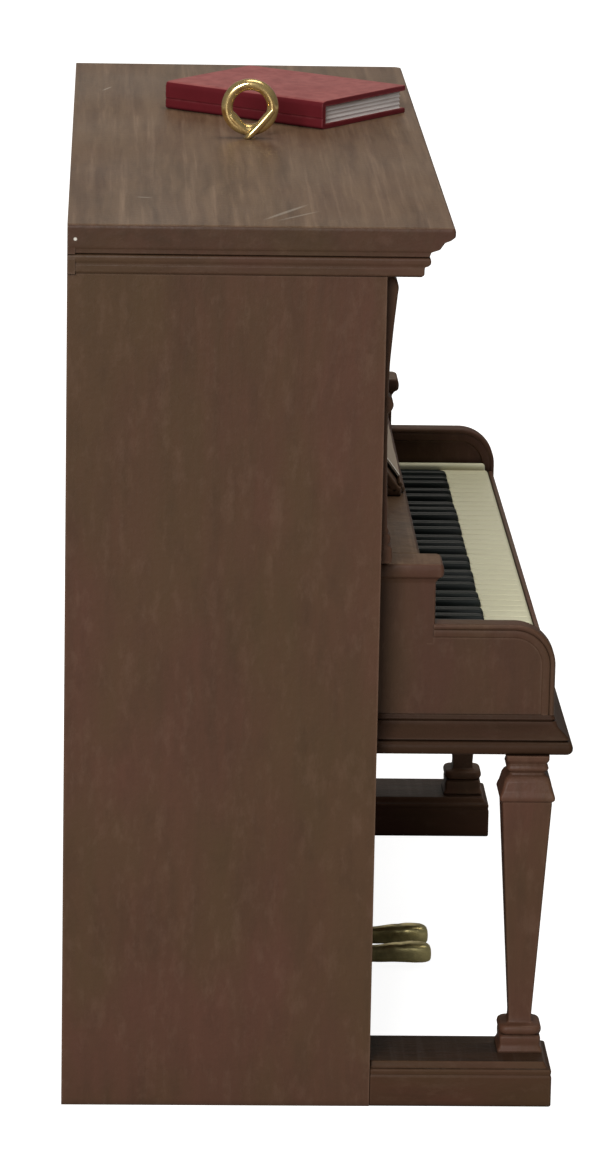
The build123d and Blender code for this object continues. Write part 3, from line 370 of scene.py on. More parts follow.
def new_group(
    name: str, inputs: dict[str, tuple[str, Optional[float]]], outputs: Sequence[str]
) -> tuple[Tree, dict[str, Socket], dict[str, Socket]]:
    """Starts a shader node group.

    Args:
        name: Name of the group.
        inputs: Socket type after NodeSocket and default value, or none for a vector, by name.
        outputs: Names of its results, which are numbers.

    Returns:
        The group's tree helper, its given sockets and its result sockets, both by name.
    """
    group = bpy.data.node_groups.new(name, "ShaderNodeTree")
    for key, (kind, default) in inputs.items():
        socket = group.interface.new_socket(key, in_out="INPUT", socket_type="NodeSocket" + kind)
        if default is not None:
            socket.default_value = default
    for key in outputs:
        group.interface.new_socket(key, in_out="OUTPUT", socket_type="NodeSocketFloat")
    given = group.nodes.new("NodeGroupInput").outputs
    result = group.nodes.new("NodeGroupOutput").inputs
    return Tree(group), {key: given[key] for key in inputs}, {key: result[key] for key in outputs}


class Effects:
    """Node groups that several finishes share, each built once."""

    def __init__(self) -> None:
        """Builds the groups."""
        self.streaks = self._streaks()
        self.edges = self._edges()
        self.specks = self._specks()
        self.spot = self._spot()

    @staticmethod
    def _streaks() -> bpy.types.NodeTree:
        """Brush streaks: noise over coordinates that are squeezed along one direction.

        The coordinates are first pushed about by a broad noise of about a millimetre.
        """
        tree, given, result = new_group(
            "brush_streaks",
            {"Vector": ("Vector", None), "Squeeze": ("Vector", None), "Scale": ("Float", 400.0)},
            ("Streak", "Patch"),
        )
        squeezed = tree.scaled(given["Vector"], given["Squeeze"])
        bent = tree.add("TexNoise", {"Vector": given["Vector"], "Scale": 90.0, "Detail": 2.0})
        offset = tree.vector("SCALE", bent.outputs["Color"])
        tree.feed(offset.inputs["Scale"], 1.2 * MM)
        streaked = tree.vector("ADD", squeezed, offset.outputs[0]).outputs[0]
        fine = tree.noise(streaked, given["Scale"], 4.0, 0.6)
        coarse = tree.times(given["Scale"], 0.3)
        broad = tree.noise(streaked, coarse, 2.0)
        tree.feed(result["Streak"], tree.math("MULTIPLY_ADD", fine, 0.6, tree.times(broad, 0.4)))
        tree.feed(result["Patch"], tree.noise(given["Vector"], 38.0, 3.0, 0.5))
        return tree.tree

    @staticmethod
    def _edges() -> bpy.types.NodeTree:
        """Edge masks: how far the rounded normal leaves the true one, and how closed in a point is."""
        tree, given, result = new_group(
            "edge_masks",
            {"Radius": ("Float", 0.3 * MM), "Depth": ("Float", 0.6 * MM)},
            ("Edge", "Crevice"),
        )
        rounded = tree.add("Bevel", {"Radius": given["Radius"]}, samples=6)
        true = tree.add("NewGeometry")
        likeness = tree.vector("DOT_PRODUCT", rounded.outputs[0], true.outputs["Normal"]).outputs["Value"]
        closed = tree.add("AmbientOcclusion", {"Distance": given["Depth"]}, samples=6, only_local=False)
        crevice = tree.remap(closed.outputs["AO"], 0.25, 0.9, 1.0, 0.0)
        outward = tree.math("SUBTRACT", 1.0, crevice)
        tree.feed(result["Edge"], tree.times(tree.remap(likeness, 0.995, 0.86), outward))
        tree.feed(result["Crevice"], crevice)
        return tree.tree

    @staticmethod
    def _specks() -> bpy.types.NodeTree:
        """Sparse small specks: cells near whose centre the distance is short, and few of them kept."""
        tree, given, result = new_group(
            "specks",
            {"Vector": ("Vector", None), "Scale": ("Float", 500.0), "Amount": ("Float", 0.1)},
            ("Speck",),
        )
        inputs = {"Vector": given["Vector"], "Scale": given["Scale"]}
        cells = tree.add("TexVoronoi", inputs, feature="F1")
        chosen = tree.add("SeparateColor", {0: cells.outputs["Color"]}).outputs[0]
        kept = tree.math("LESS_THAN", chosen, given["Amount"])
        near = tree.remap(cells.outputs["Distance"], 0.12, 0.3, 1.0, 0.0)
        tree.feed(result["Speck"], tree.times(kept, near))
        return tree.tree

    @staticmethod
    def _spot() -> bpy.types.NodeTree:
        """A single mark: one inside an ellipsoid about a point, fading to none at its edge."""
        vectors = {key: ("Vector", None) for key in ("Vector", "Centre", "Half")}
        tree, given, result = new_group("single_mark", {**vectors, "Turn": ("Float", 0.0)}, ("Mark",))
        local = tree.vector("SUBTRACT", given["Vector"], given["Centre"]).outputs[0]
        around = {"Vector": local, "Angle": given["Turn"]}
        turned = tree.add("VectorRotate", around, rotation_type="Z_AXIS")
        unit = tree.vector("DIVIDE", turned.outputs[0], given["Half"]).outputs[0]
        length = tree.vector("LENGTH", unit).outputs["Value"]
        tree.feed(result["Mark"], tree.remap(length, 0.55, 1.0, 1.0, 0.0))
        return tree.tree


# ---------------------------------------------------------------- finishes
def start_material(name: str) -> tuple[bpy.types.Material, Tree, Node, Socket]:
    """Starts a material on object coordinates.

    Args:
        name: Name of the material.

    Returns:
        The material, its tree helper, its Principled shader and the coordinates.
    """
    material = bpy.data.materials.new(name)
    material.use_nodes = True
    nodes = material.node_tree.nodes
    nodes.clear()
    tree = Tree(material.node_tree)
    shader = tree.add("BsdfPrincipled")
    output = tree.add("OutputMaterial")
    tree.feed(output.inputs["Surface"], shader.outputs[0])
    place = tree.add("TexCoord").outputs["Object"]
    return material, tree, shader, place


def use(tree: Tree, group: bpy.types.NodeTree, inputs: Inputs) -> Node:
    """Places a shared effect in a tree."""
    return tree.add("Group", inputs, node_tree=group)


def upward(tree: Tree) -> Socket:
    """How level a face lies and looks up: 1 on top, 0 from about 35 degrees of slope."""
    normal = tree.add("SeparateXYZ", {0: tree.add("NewGeometry").outputs["Normal"]})
    return tree.remap(normal.outputs[2], 0.8, 0.99)


def bump(tree: Tree, shader: Node, height: Value, distance: float, strength: float) -> None:
    """Feeds a height, in units of a distance in metres, to the shader's normal."""
    node = tree.add("Bump", {"Height": height, "Distance": distance, "Strength": strength})
    tree.feed(shader.inputs["Normal"], node.outputs[0])


def share_of(values: Sequence[float], share: float) -> tuple[float, ...]:
    """Each value times a share, for a darker colour or for millimetres in metres."""
    return tuple(share * value for value in values)


@dataclass(frozen=True)
class Mark:
    """A single scratch or chip: its centre, half sizes, turn about Z in degrees and strength."""

    centre: Triple
    half: Triple
    turn: float = 0.0
    strength: float = 1.0


@dataclass(frozen=True)
class Paint:
    """Satin paint on a moulding: brushed, with painted shade in its crevices and rubbed pale along edges."""

    name: str
    body: Colour
    warm: Colour
    olive: Colour
    shade: Colour
    rubbed: Colour
    squeeze: Triple = (1.0, 1.0, 0.12)
    roughness: float = 0.46
    rub: float = 0.5
    # Share of painted shade that closed-in places take.
    crevice: float = 0.75
    gloss: float = 0.2
    # Painted light laid on upward faces, and its colour; a dark colour lays painted shade instead.
    film: float = 0.0
    film_colour: Colour = (0.172, 0.108, 0.064)
    marks: tuple[Mark, ...] = ()
    mark_colour: Colour = (0.7, 0.66, 0.58)

    def build(self, effects: Effects) -> bpy.types.Material:
        """Makes the material, one layer over another.

        Streaks choose between body and shade, patches bring the warm and the olive tone, then
        come soot, chalk, wear along edges, painted shade in crevices, painted light on upward faces
        (painted shade on the toes), specks and the marks.
        """
        material, tree, shader, place = start_material(self.name)
        streaks = use(tree, effects.streaks, {"Vector": place, "Squeeze": self.squeeze, "Scale": 900.0})
        edges = use(tree, effects.edges, {"Radius": 0.4 * MM, "Depth": 0.8 * MM})
        fine = tree.remap(streaks.outputs["Streak"], 0.36, 0.64)
        patch = tree.remap(streaks.outputs["Patch"], 0.38, 0.66)
        broad = tree.scaled(place, tuple(0.35 + 0.65 * c for c in self.squeeze))
        olive = tree.remap(tree.noise(broad, 110.0, 3.0, 0.5), 0.4, 0.62)
        soot = tree.remap(tree.noise(broad, 420.0, 6.0, 0.7), 0.5, 0.7)
        chalk = tree.remap(tree.noise(broad, 700.0, 5.0, 0.7), 0.52, 0.7)
        colour = self.body
        for mask, amount, tone in (
            (fine, 0.75, self.shade),
            (patch, 0.62, self.warm),
            (olive, 0.55, self.olive),
            (soot, 0.2, share_of(self.shade, 0.5)),
            (chalk, 0.2, self.rubbed),
        ):
            colour = tree.mix(tree.times(mask, amount), colour, tone)
        rubbed = tree.remap(tree.noise(place, 700.0, 4.0, 0.65), 0.3, 0.62, 0.2, self.rub)
        colour = tree.mix(tree.times(edges.outputs["Edge"], rubbed), colour, self.rubbed)
        # Painted shade: closed-in places (ambient occlusion) darken towards the shade tone, as crevices fall
        # into shade.
        dark = tree.times(edges.outputs["Crevice"], self.crevice)
        colour = tree.mix(dark, colour, share_of(self.shade, 0.22))
        if self.film:
            colour = self.settled(tree, place, fine, colour)
        specks = use(tree, effects.specks, {"Vector": place, "Scale": 620.0, "Amount": 0.02})
        colour = tree.mix(tree.times(specks.outputs[0], 0.25), colour, self.rubbed)
        for mark in self.marks:
            inputs = {
                "Vector": place,
                "Centre": share_of(mark.centre, MM),
                "Turn": radians(mark.turn),
                "Half": share_of(mark.half, MM),
            }
            spot = use(tree, effects.spot, inputs)
            colour = tree.mix(tree.times(spot.outputs[0], mark.strength), colour, self.mark_colour)
        tree.feed(shader.inputs["Base Color"], colour)
        rough = tree.remap(streaks.outputs["Patch"], 0.3, 0.7, self.roughness - 0.05, self.roughness + 0.08)
        tree.feed(shader.inputs["Roughness"], rough)
        tree.feed(shader.inputs["Specular IOR Level"], self.gloss)
        height = tree.math("ADD", streaks.outputs["Streak"], tree.times(tree.noise(place, 1500.0), 0.5))
        bump(tree, shader, height, 0.1 * MM, 0.7)
        return material

    def settled(self, tree: Tree, place: Socket, fine: Socket, colour: Socket) -> Socket:
        """Lays painted light on what looks up, with pale lines along the piano where it is strongest; a dark
        colour lays painted shade.

        Args:
            tree: The material's tree.
            place: Object coordinates.
            fine: Streaks, where the painted top light is weaker.
            colour: Colour under the painted top light.

        Returns:
            The colour with its painted top light.
        """
        # Painted light on upward faces: the lid's and the key blocks' lit tops, and painted shade on the
        # toes' tops.
        thickness = tree.remap(fine, 0.0, 1.0, self.film, 0.3 * self.film)
        cover = tree.times(upward(tree), thickness)
        line = tree.noise(tree.scaled(place, (0.02, 1.0, 1.0)), 1300.0, 4.0, 0.65)
        pale = tree.times(tree.remap(line, 0.5, 0.72), 0.7)
        film = tree.mix(pale, self.film_colour, tuple(1.5 * c + 0.03 for c in self.film_colour))
        return tree.mix(cover, colour, film)


@dataclass(frozen=True)
class Moulding:
    """Coloured plastic, enamel or lacquer with a fine surface and painted shade in its crevices."""

    name: str
    body: Colour
    second: Colour
    # Colour of the painted shade in crevices.
    dirt: Colour
    roughness: float = 0.35
    coat: float = 0.0
    grain: float = 900.0
    relief: float = 0.02
    crevice: float = 0.6
    edge: Optional[Colour] = None
    gloss: float = 0.5
    # Painted light on upward faces, and its colour: the book's lit top.
    film: float = 0.0
    film_colour: Colour = (0.40, 0.125, 0.118)

    def build(self, effects: Effects) -> bpy.types.Material:
        """Makes the material: patches mix the two body colours, crevices take painted shade, upward faces
        painted light.
        """
        material, tree, shader, place = start_material(self.name)
        inputs = {"Vector": place, "Squeeze": (1.0, 1.0, 1.0), "Scale": self.grain}
        streaks = use(tree, effects.streaks, inputs)
        edges = use(tree, effects.edges, {"Radius": 0.3 * MM, "Depth": 0.5 * MM})
        patch = tree.remap(streaks.outputs["Patch"], 0.35, 0.65)
        streak = tree.remap(streaks.outputs["Streak"], 0.4, 0.65)
        mixed = tree.math("MULTIPLY_ADD", streak, 0.4, tree.times(patch, 0.5))
        colour = tree.mix(mixed, self.body, self.second)
        if self.edge is not None:
            rubbed = tree.remap(tree.noise(place, 900.0), 0.35, 0.6, 0.1, 0.7)
            colour = tree.mix(tree.times(edges.outputs["Edge"], rubbed), colour, self.edge)
        # Painted light: upward faces lighten towards the top colour.
        if self.film:
            thickness = tree.remap(streaks.outputs["Streak"], 0.4, 0.62, self.film, 0.6 * self.film)
            colour = tree.mix(tree.times(upward(tree), thickness), colour, self.film_colour)
        # Painted shade: closed-in places (ambient occlusion) take the crevice shade colour.
        dark = tree.times(edges.outputs["Crevice"], self.crevice)
        tree.feed(shader.inputs["Base Color"], tree.mix(dark, colour, self.dirt))
        tree.feed(shader.inputs["Specular IOR Level"], self.gloss)
        rough = tree.remap(streaks.outputs["Patch"], 0.3, 0.7, self.roughness - 0.04, self.roughness + 0.06)
        tree.feed(shader.inputs["Roughness"], rough)
        if self.coat:
            tree.feed(shader.inputs["Coat Weight"], self.coat)
            tree.feed(shader.inputs["Coat Roughness"], 0.12)
        bump(tree, shader, streaks.outputs["Streak"], self.relief * MM, 0.6)
        return material


@dataclass(frozen=True)
class Metal:
    """Bare or gilded metal with a dark patina that settles in its crevices and in patches."""

    name: str
    body: Colour
    patina: Colour
    roughness: float = 0.2
    patina_share: float = 0.0
    crevice: float = 0.5
    scale: float = 260.0
    relief: float = 0.03

    def build(self, effects: Effects) -> bpy.types.Material:
        """Makes the material: the patina dulls the metal and lowers its metallic value."""
        material, tree, shader, place = start_material(self.name)
        edges = use(tree, effects.edges, {"Radius": 0.3 * MM, "Depth": 0.6 * MM})
        cloud = tree.noise(place, self.scale, 4.0, 0.6)
        patch = tree.times(tree.remap(cloud, 0.42, 0.62), self.patina_share)
        dull = tree.math("MAXIMUM", patch, tree.times(edges.outputs["Crevice"], self.crevice))
        tree.feed(shader.inputs["Base Color"], tree.mix(dull, self.body, self.patina))
        tree.feed(shader.inputs["Metallic"], tree.remap(dull, 0.0, 1.0, 1.0, 0.35))
        rough = tree.remap(dull, 0.0, 1.0, self.roughness, self.roughness + 0.3)
        tree.feed(shader.inputs["Roughness"], rough)
        height = tree.math("ADD", cloud, tree.times(tree.noise(place, 1800.0, 2.0), 0.3))
        bump(tree, shader, height, self.relief * MM, 0.5)
        return material


@dataclass(frozen=True)
class Leaves:
    """Edges of a block of pages, or a printed sheet: fine lines in layers."""

    name: str
    body: Colour
    line: Colour
    pitch: float
    across: Triple = (0.0, 0.0, 1.0)
    line_share: float = 0.5

    def build(self, effects: Effects) -> bpy.types.Material:
        """Makes the material: noise squeezed into layers across one direction, with painted shade in
        crevices.
        """
        material, tree, shader, place = start_material(self.name)
        squeeze = tuple(0.04 + 0.96 * abs(c) for c in self.across)
        inputs = {"Vector": place, "Squeeze": squeeze, "Scale": 1.0 / (self.pitch * MM)}
        streaks = use(tree, effects.streaks, inputs)
        edges = use(tree, effects.edges, {"Radius": 0.2 * MM, "Depth": 0.6 * MM})
        lines = tree.times(tree.remap(streaks.outputs["Streak"], 0.42, 0.6), self.line_share)
        colour = tree.mix(lines, self.body, self.line)
        # Painted shade: closed-in places between the layers darken, as they fall into shade.
        dark = tree.times(edges.outputs["Crevice"], 0.6)
        colour = tree.mix(dark, colour, share_of(self.line, 0.3))
        tree.feed(shader.inputs["Base Color"], colour)
        tree.feed(shader.inputs["Roughness"], 0.7)
        bump(tree, shader, streaks.outputs["Streak"], 0.04 * MM, 0.5)
        return material


class Look(Enum):
    """Every finish, by the name of the slot that it dresses."""

    WALNUT = "walnut_paint"
    LID = "lid_paint"
    IVORY = "ivory_plastic"
    BLACK = "black_gloss"
    SHEET = "paper_cream"
    GOLD = "antique_gold"
    BRASS = "polished_brass"
    BUSH = "plain_brass"
    CRIMSON = "crimson_binding"
    PAGES = "page_grey"
    COVER = "cover_plastic"
    DARK = "black_plastic"
    BUTTON = "button_plastic"
    SCREW = "screw_steel"
    CONE = "speaker_paper"
    MAGNET = "magnet_steel"
    CELL = "cell_steel"
    BOARD = "board_green"
    POTTING = "potting_black"
    RED_LEAD = "lead_red"
    BLACK_LEAD = "lead_black"


WALNUT_TONES = {
    "body": (0.088, 0.040, 0.0225),
    "warm": (0.102, 0.040, 0.0255),
    "olive": (0.078, 0.046, 0.0195),
    "shade": (0.062, 0.033, 0.017),
    "rubbed": (0.17, 0.10, 0.066),
}


def toned(share: float) -> dict[str, Colour]:
    """The walnut tones, darkened to a share of their light."""
    return {key: share_of(tone, share) for key, tone in WALNUT_TONES.items()}


def grey_moulding(
    name: str, body: float, second: float, dirt: float, roughness: float, **others: float
) -> Moulding:
    """A moulding whose colours are greys, each given as one number."""
    return Moulding(name, (body,) * 3, (second,) * 3, (dirt,) * 3, roughness, **others)


STEEL = (0.62, 0.62, 0.63)
# Grime on the steel parts, and the painted shade colour in the cover's crevices.
GRIME_AND_SHADE = (0.03, 0.03, 0.03)

FINISHES = {
    Look.WALNUT: Paint("walnut_paint", **WALNUT_TONES),
    # The lid's top takes painted light where it looks up, with pale streak lines; the marks are scratches and
    # a chip.
    Look.LID: Paint(
        "lid_paint",
        **toned(0.8),
        squeeze=(0.06, 1.0, 1.0),
        roughness=0.44,
        film=0.95,
        marks=(
            Mark((-52.3, 25.2, 90.5), (0.35, 0.22, 0.22)),
            Mark((33.0, 22.3, 92.0), (1.8, 0.14, 0.3), 20.0, 0.35),
            Mark((-37.0, 18.4, 92.0), (0.26, 1.0, 0.3), 12.0, 0.25),
            Mark((-44.5, 4.2, 92.0), (5.5, 0.35, 0.3), 28.0, 0.2),
            Mark((-46.5, 3.0, 92.0), (4.0, 0.26, 0.3), 38.0, 0.17),
        ),
    ),
    Look.IVORY: Moulding(
        "ivory", (0.66, 0.655, 0.475), (0.61, 0.60, 0.43), (0.26, 0.21, 0.11), 0.4, crevice=0.9, gloss=0.35
    ),
    Look.BLACK: Moulding(
        "black_lacquer", (0.005, 0.007, 0.007), (0.006, 0.012, 0.010), (0.001, 0.001, 0.001), 0.42,
        gloss=0.22, edge=(0.07, 0.07, 0.06),
    ),
    Look.SHEET: Leaves("song_paper", (0.46, 0.38, 0.30), (0.27, 0.20, 0.15), 1.0, (0.0, 0.8, 0.6), 0.35),
    Look.GOLD: Metal("antique_gold", (0.74, 0.64, 0.30), (0.28, 0.24, 0.10), 0.33, 0.6, 0.8, 420.0, 0.12),
    Look.BRASS: Metal("polished_brass", (0.90, 0.66, 0.28), (0.09, 0.05, 0.015), 0.12, 0.5, 0.95, 420.0),
    Look.BUSH: Metal("plain_brass", (0.7, 0.5, 0.2), (0.2, 0.13, 0.05), 0.3, 0.3),
    # The book's top takes painted light, and its crevices painted shade.
    Look.CRIMSON: Moulding(
        "crimson_binding", (0.105, 0.009, 0.013), (0.13, 0.012, 0.017), (0.03, 0.004, 0.006), 0.5,
        relief=0.05, edge=(0.26, 0.07, 0.07), gloss=0.14, film=0.85,
    ),
    Look.PAGES: Leaves("page_edges", (0.66, 0.62, 0.59), (0.30, 0.25, 0.24), 0.45),
    Look.COVER: Moulding(
        "cover_moulding", (0.06, 0.032, 0.023), (0.052, 0.028, 0.02), GRIME_AND_SHADE, 0.5, relief=0.05
    ),
    Look.DARK: grey_moulding("black_moulding", 0.018, 0.025, 0.004, 0.5),
    Look.BUTTON: Moulding(
        "button_moulding", (0.035, 0.02, 0.015), (0.045, 0.025, 0.02), (0.006, 0.004, 0.003), 0.3
    ),
    Look.SCREW: Metal("zinc_screw", STEEL, GRIME_AND_SHADE, 0.32, 0.2),
    Look.CONE: grey_moulding("cone_paper", 0.03, 0.045, 0.01, 0.85, relief=0.1),
    Look.MAGNET: Metal("zinc_magnet", STEEL, GRIME_AND_SHADE, 0.35, 0.25),
    Look.CELL: Metal("nickel_can", (0.72, 0.71, 0.68), GRIME_AND_SHADE, 0.22, 0.1),
    Look.BOARD: Moulding(
        "solder_mask", (0.02, 0.11, 0.045), (0.015, 0.09, 0.035), (0.01, 0.02, 0.01), 0.3, coat=0.3
    ),
    Look.POTTING: grey_moulding("potting", 0.012, 0.016, 0.004, 0.25, coat=0.3),
    Look.RED_LEAD: Moulding(
        "red_insulation", (0.35, 0.02, 0.015), (0.3, 0.02, 0.015), (0.1, 0.01, 0.01), 0.45
    ),
    Look.BLACK_LEAD: grey_moulding("black_insulation", 0.015, 0.02, 0.005, 0.45),
}

# Finishes of single pieces, in place of their look's own.
SHEET_EDGE = Leaves("sheet_edge", (0.85, 0.83, 0.77), (0.66, 0.63, 0.55), 0.5)
SHADED_WALNUT = Paint("shaded_walnut", **toned(0.86))
# Painted light: the tops of the key blocks and the shelf are lightened where they look up.
TOP_LIT_WALNUT = Paint("top_lit_walnut", **toned(0.86), rub=0.9, film=0.8)
MOULDED_WALNUT = Paint("moulded_walnut", **toned(0.88), squeeze=(1.0, 0.1, 1.0))
# Painted shade: a much darker copy of the walnut for the key bed, standing for the shade on its fascia and
# lip.
SHADED_KEY_BED_WALNUT = Paint("shaded_key_bed_walnut", **toned(0.48), squeeze=(1.0, 0.12, 1.0), gloss=0.08)
# Painted shade: a darker copy of the walnut for the toes, whose upward faces take a dark colour for the shade
# under the key bed.
SHADED_TOE_WALNUT = Paint(
    "toe_walnut",
    **toned(0.76),
    squeeze=(1.0, 0.12, 1.0),
    gloss=0.1,
    film=0.9,
    film_colour=(0.018, 0.010, 0.006),
)


class Wardrobe:
    """Makes each finish's material once."""

    def __init__(self) -> None:
        """Builds the shared effects."""
        self.effects = Effects()
        self.made: dict[str, bpy.types.Material] = {}

    def material(self, look: Look, finish: Optional[Union[Paint, Leaves]] = None) -> bpy.types.Material:
        """The material of a look, in another finish than its own if one is given."""
        chosen = finish or FINISHES[look]
        if chosen.name not in self.made:
            self.made[chosen.name] = chosen.build(self.effects)
        return self.made[chosen.name]


@dataclass
class Workshop:
    """Places pieces and dresses CAD nodes."""

    wardrobe: Wardrobe
    done: list[str] = field(default_factory=list)

    def place(
        self,
        name: str,
        form: Form,
        look: Look,
        nodes: Sequence[str],
        body: str = "case",
        sharp: float = 34.0,
        finish: Optional[Paint] = None,
    ) -> bpy.types.Object:
        """Makes a piece that stands for CAD nodes.

        Args:
            name: Name of the piece.
            form: Its surfaces.
            look: Its finish.
            nodes: CAD nodes that it replaces.
            body: Body that it rides on.
            sharp: Angle in degrees above which an edge stays sharp.
            finish: Another finish for the same look.

        Returns:
            The object.
        """
        piece = bpy.data.objects.new(name, form.mesh(name, sharp))
        bpy.context.scene.collection.objects.link(piece)
        piece.data.materials.append(self.wardrobe.material(look, finish))
        weight = piece.modifiers.new("even_shading", "WEIGHTED_NORMAL")
        weight.keep_sharp = True
        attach(piece, body)
        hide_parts(*nodes)
        self.done += nodes
        LOG.info("%s: %d faces on body %s", name, len(piece.data.polygons), body)
        return piece

    def pair(self, stem: str, form: Form, sharp: float, finish: Optional[Paint] = None) -> None:
        """Makes the bass piece of a pair in walnut, and the treble piece as its mirror image.

        Args:
            stem: Name of both pieces without their side.
            form: Surfaces of the bass piece.
            sharp: Angle in degrees above which an edge stays sharp.
            finish: Another finish for the same look.
        """
        for side in Side:
            node = f"{stem}_{side.suffix}"
            placed = form if side is Side.BASS else form.mirrored()
            self.place(node, placed, Look.WALNUT, [node], sharp=sharp, finish=finish)

    def dress(self, node: str, look: Look, round_by: float = 0.0) -> None:
        """Gives a CAD node its finish, and rounds its edges if asked.

        Args:
            node: Name of the node.
            look: Its finish.
            round_by: Radius of its edges in mm, or none.
        """
        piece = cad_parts[node]
        piece.data.materials.clear()
        piece.data.materials.append(self.wardrobe.material(look))
        if round_by:
            joined = piece.modifiers.new("joined", "WELD")
            joined.merge_threshold = 1e-6
            rounded = piece.modifiers.new("rounded", "BEVEL")
            rounded.width = round_by * MM
            rounded.segments = 2
            rounded.limit_method = "ANGLE"
            rounded.angle_limit = radians(40)
            rounded.harden_normals = True
        self.done.append(node)
        LOG.info("%s dressed in %s", node, look.value)


# ---------------------------------------------------------------- case
@dataclass
class Lid:
    """Lid slab and the cornice frame under it, both moulded at the front and sides.

    A moulding's rows are (drop from the top, front inset, side inset, corner radius), from the
    top down.
    """

    slab: Rows = (
        (0.0, 0.55, 0.32, 0.3), (0.1, 0.12, 0.08, 0.3), (0.35, 0.0, 0.0, 0.3), (0.95, 0.02, 0.0, 0.3),
        (1.3, 0.5, 0.0, 0.25), (1.5, 1.05, 0.0, 0.25), (1.85, 1.3, 0.0, 0.2), (2.2, 1.55, 0.0, 0.2),
        (2.36, 2.0, 0.02, 0.2), (2.5, 2.4, 0.12, 0.15), (2.92, 2.55, 0.12, 0.15), (3.0, 2.6, 0.3, 0.15),
    )
    cornice: Rows = (
        (0.0, 0.3, 0.3, 0.15), (0.12, 0.08, 0.1, 0.15), (0.3, 0.0, 0.04, 0.2), (0.66, 0.0, 0.05, 0.2),
        (0.92, 0.26, 0.18, 0.15), (1.02, 0.6, 0.18, 0.15), (1.12, 0.62, 0.1, 0.15), (1.78, 0.64, 0.1, 0.15),
        (2.0, 0.9, 0.32, 0.1),
    )
    row_round: float = 0.12
    arc: int = 4
    end_margin: float = 0.8
    end_step: float = 0.02
    full_below: float = 0.4

    def moulded(self, node: str, moulding: Rows) -> Form:
        """Carries a moulding round the front and sides, and stops it short of the plain back.

        A level is a rounded rectangle whose sides and front are drawn in by that level's insets;
        behind the margin the sides keep the full width, except close under the top.

        Args:
            node: CAD node that gives the outline.
            moulding: The moulding's rows.

        Returns:
            The closed form.
        """
        low, high = node_box(node)
        drop, front, side, corner = soften(moulding, self.row_round)[::-1].T
        z = high[2] - drop
        levels = spread(low[0] + side, high[0] - side, low[1] + front, high[1], z, corner)
        front_corners = rectangles(levels, self.arc)[:, 2 * (self.arc + 1) :]
        plain = np.where(drop < self.full_below, side, 0.0)
        stop = high[1] - self.end_margin
        step = stop + self.end_step

        def column(x: Array, y: float) -> Array:
            """Points one above the other, at a distance along the sides."""
            return spread(x, y, z)[:, None]

        outline = [
            column(high[0] - plain, high[1]),
            column(low[0] + plain, high[1]),
            column(low[0] + plain, step),
            column(low[0] + side, stop),
            front_corners,
            column(high[0] - side, stop),
            column(high[0] - plain, step),
        ]
        return Form().grid(np.concatenate(outline, axis=1))

    def build(self, shop: Workshop) -> None:
        """Makes the slab and the frame."""
        slab = self.moulded("lid", self.slab)
        cornice = self.moulded("cornice", self.cornice)
        shop.place("lid", slab, Look.LID, ["lid"], sharp=42)
        shop.place("cornice", cornice, Look.WALNUT, ["cornice"], sharp=42, finish=MOULDED_WALNUT)


@dataclass
class Carcase:
    """Side panels, bottom and front boards, which keep their CAD shapes, and the rounded shelf."""

    edge: float = 0.16
    shelf_round: float = 0.5
    boards: tuple[str, ...] = (
        "side_panel_left", "side_panel_right", "bottom_board", "front_board", "upper_front_panel",
        "lower_front_panel", "fallboard", "key_slip",
    )

    def build(self, shop: Workshop) -> None:
        """Dresses the boards and makes the shelf."""
        for node in self.boards:
            shop.dress(node, Look.WALNUT, self.edge)
        shelf = Form().stack(brick(*node_box("shelf"), self.shelf_round))
        shop.place("shelf", shelf, Look.WALNUT, ["shelf"], finish=TOP_LIT_WALNUT)


@dataclass
class Pilaster:
    """Strip up each side of the front, with a console and a drop below it and a banded foot.

    The rows are (height, reach in front of the case): the foot's rise from its lower end and the
    head's fall from its top. The strip widens a little where it reaches furthest.
    """

    foot: Rows = (
        (0.0, 1.1), (0.05, 1.25), (1.5, 1.25), (1.7, 1.0), (1.9, 0.85), (2.2, 1.05), (2.7, 1.1), (3.0, 0.8),
        (3.3, 0.9), (3.6, 0.75), (8.0, 0.62), (12.0, 0.55),
    )
    head: Rows = (
        (14.6, 0.55), (14.3, 0.9), (13.7, 1.15), (13.1, 0.9), (12.9, 0.55), (11.8, 0.55), (9.2, 0.65),
        (5.5, 0.95), (2.2, 1.28), (1.7, 1.35), (1.2, 1.25), (0.8, 0.95), (0.5, 0.7), (0.0, 0.68),
    )
    row_round: float = 0.4
    corner: float = 0.3
    furthest: float = 1.35
    strip: float = 0.55
    inset: float = 0.2
    widening: float = 0.25

    def build(self, shop: Workshop) -> None:
        """Makes both pilasters."""
        for side in Side:
            node = "pilaster_" + side.suffix
            low, high = node_box(node)
            z, reach = soften(climb(low[2], self.foot, high[2], self.head), self.row_round).T
            inset = self.inset - np.clip((reach - self.strip) * self.widening, 0, self.inset)
            front = low[1] + self.furthest - reach
            levels = spread(low[0] + inset, high[0] - inset, front, high[1], z, self.corner)
            shop.place(node, Form().stack(levels), Look.WALNUT, [node])


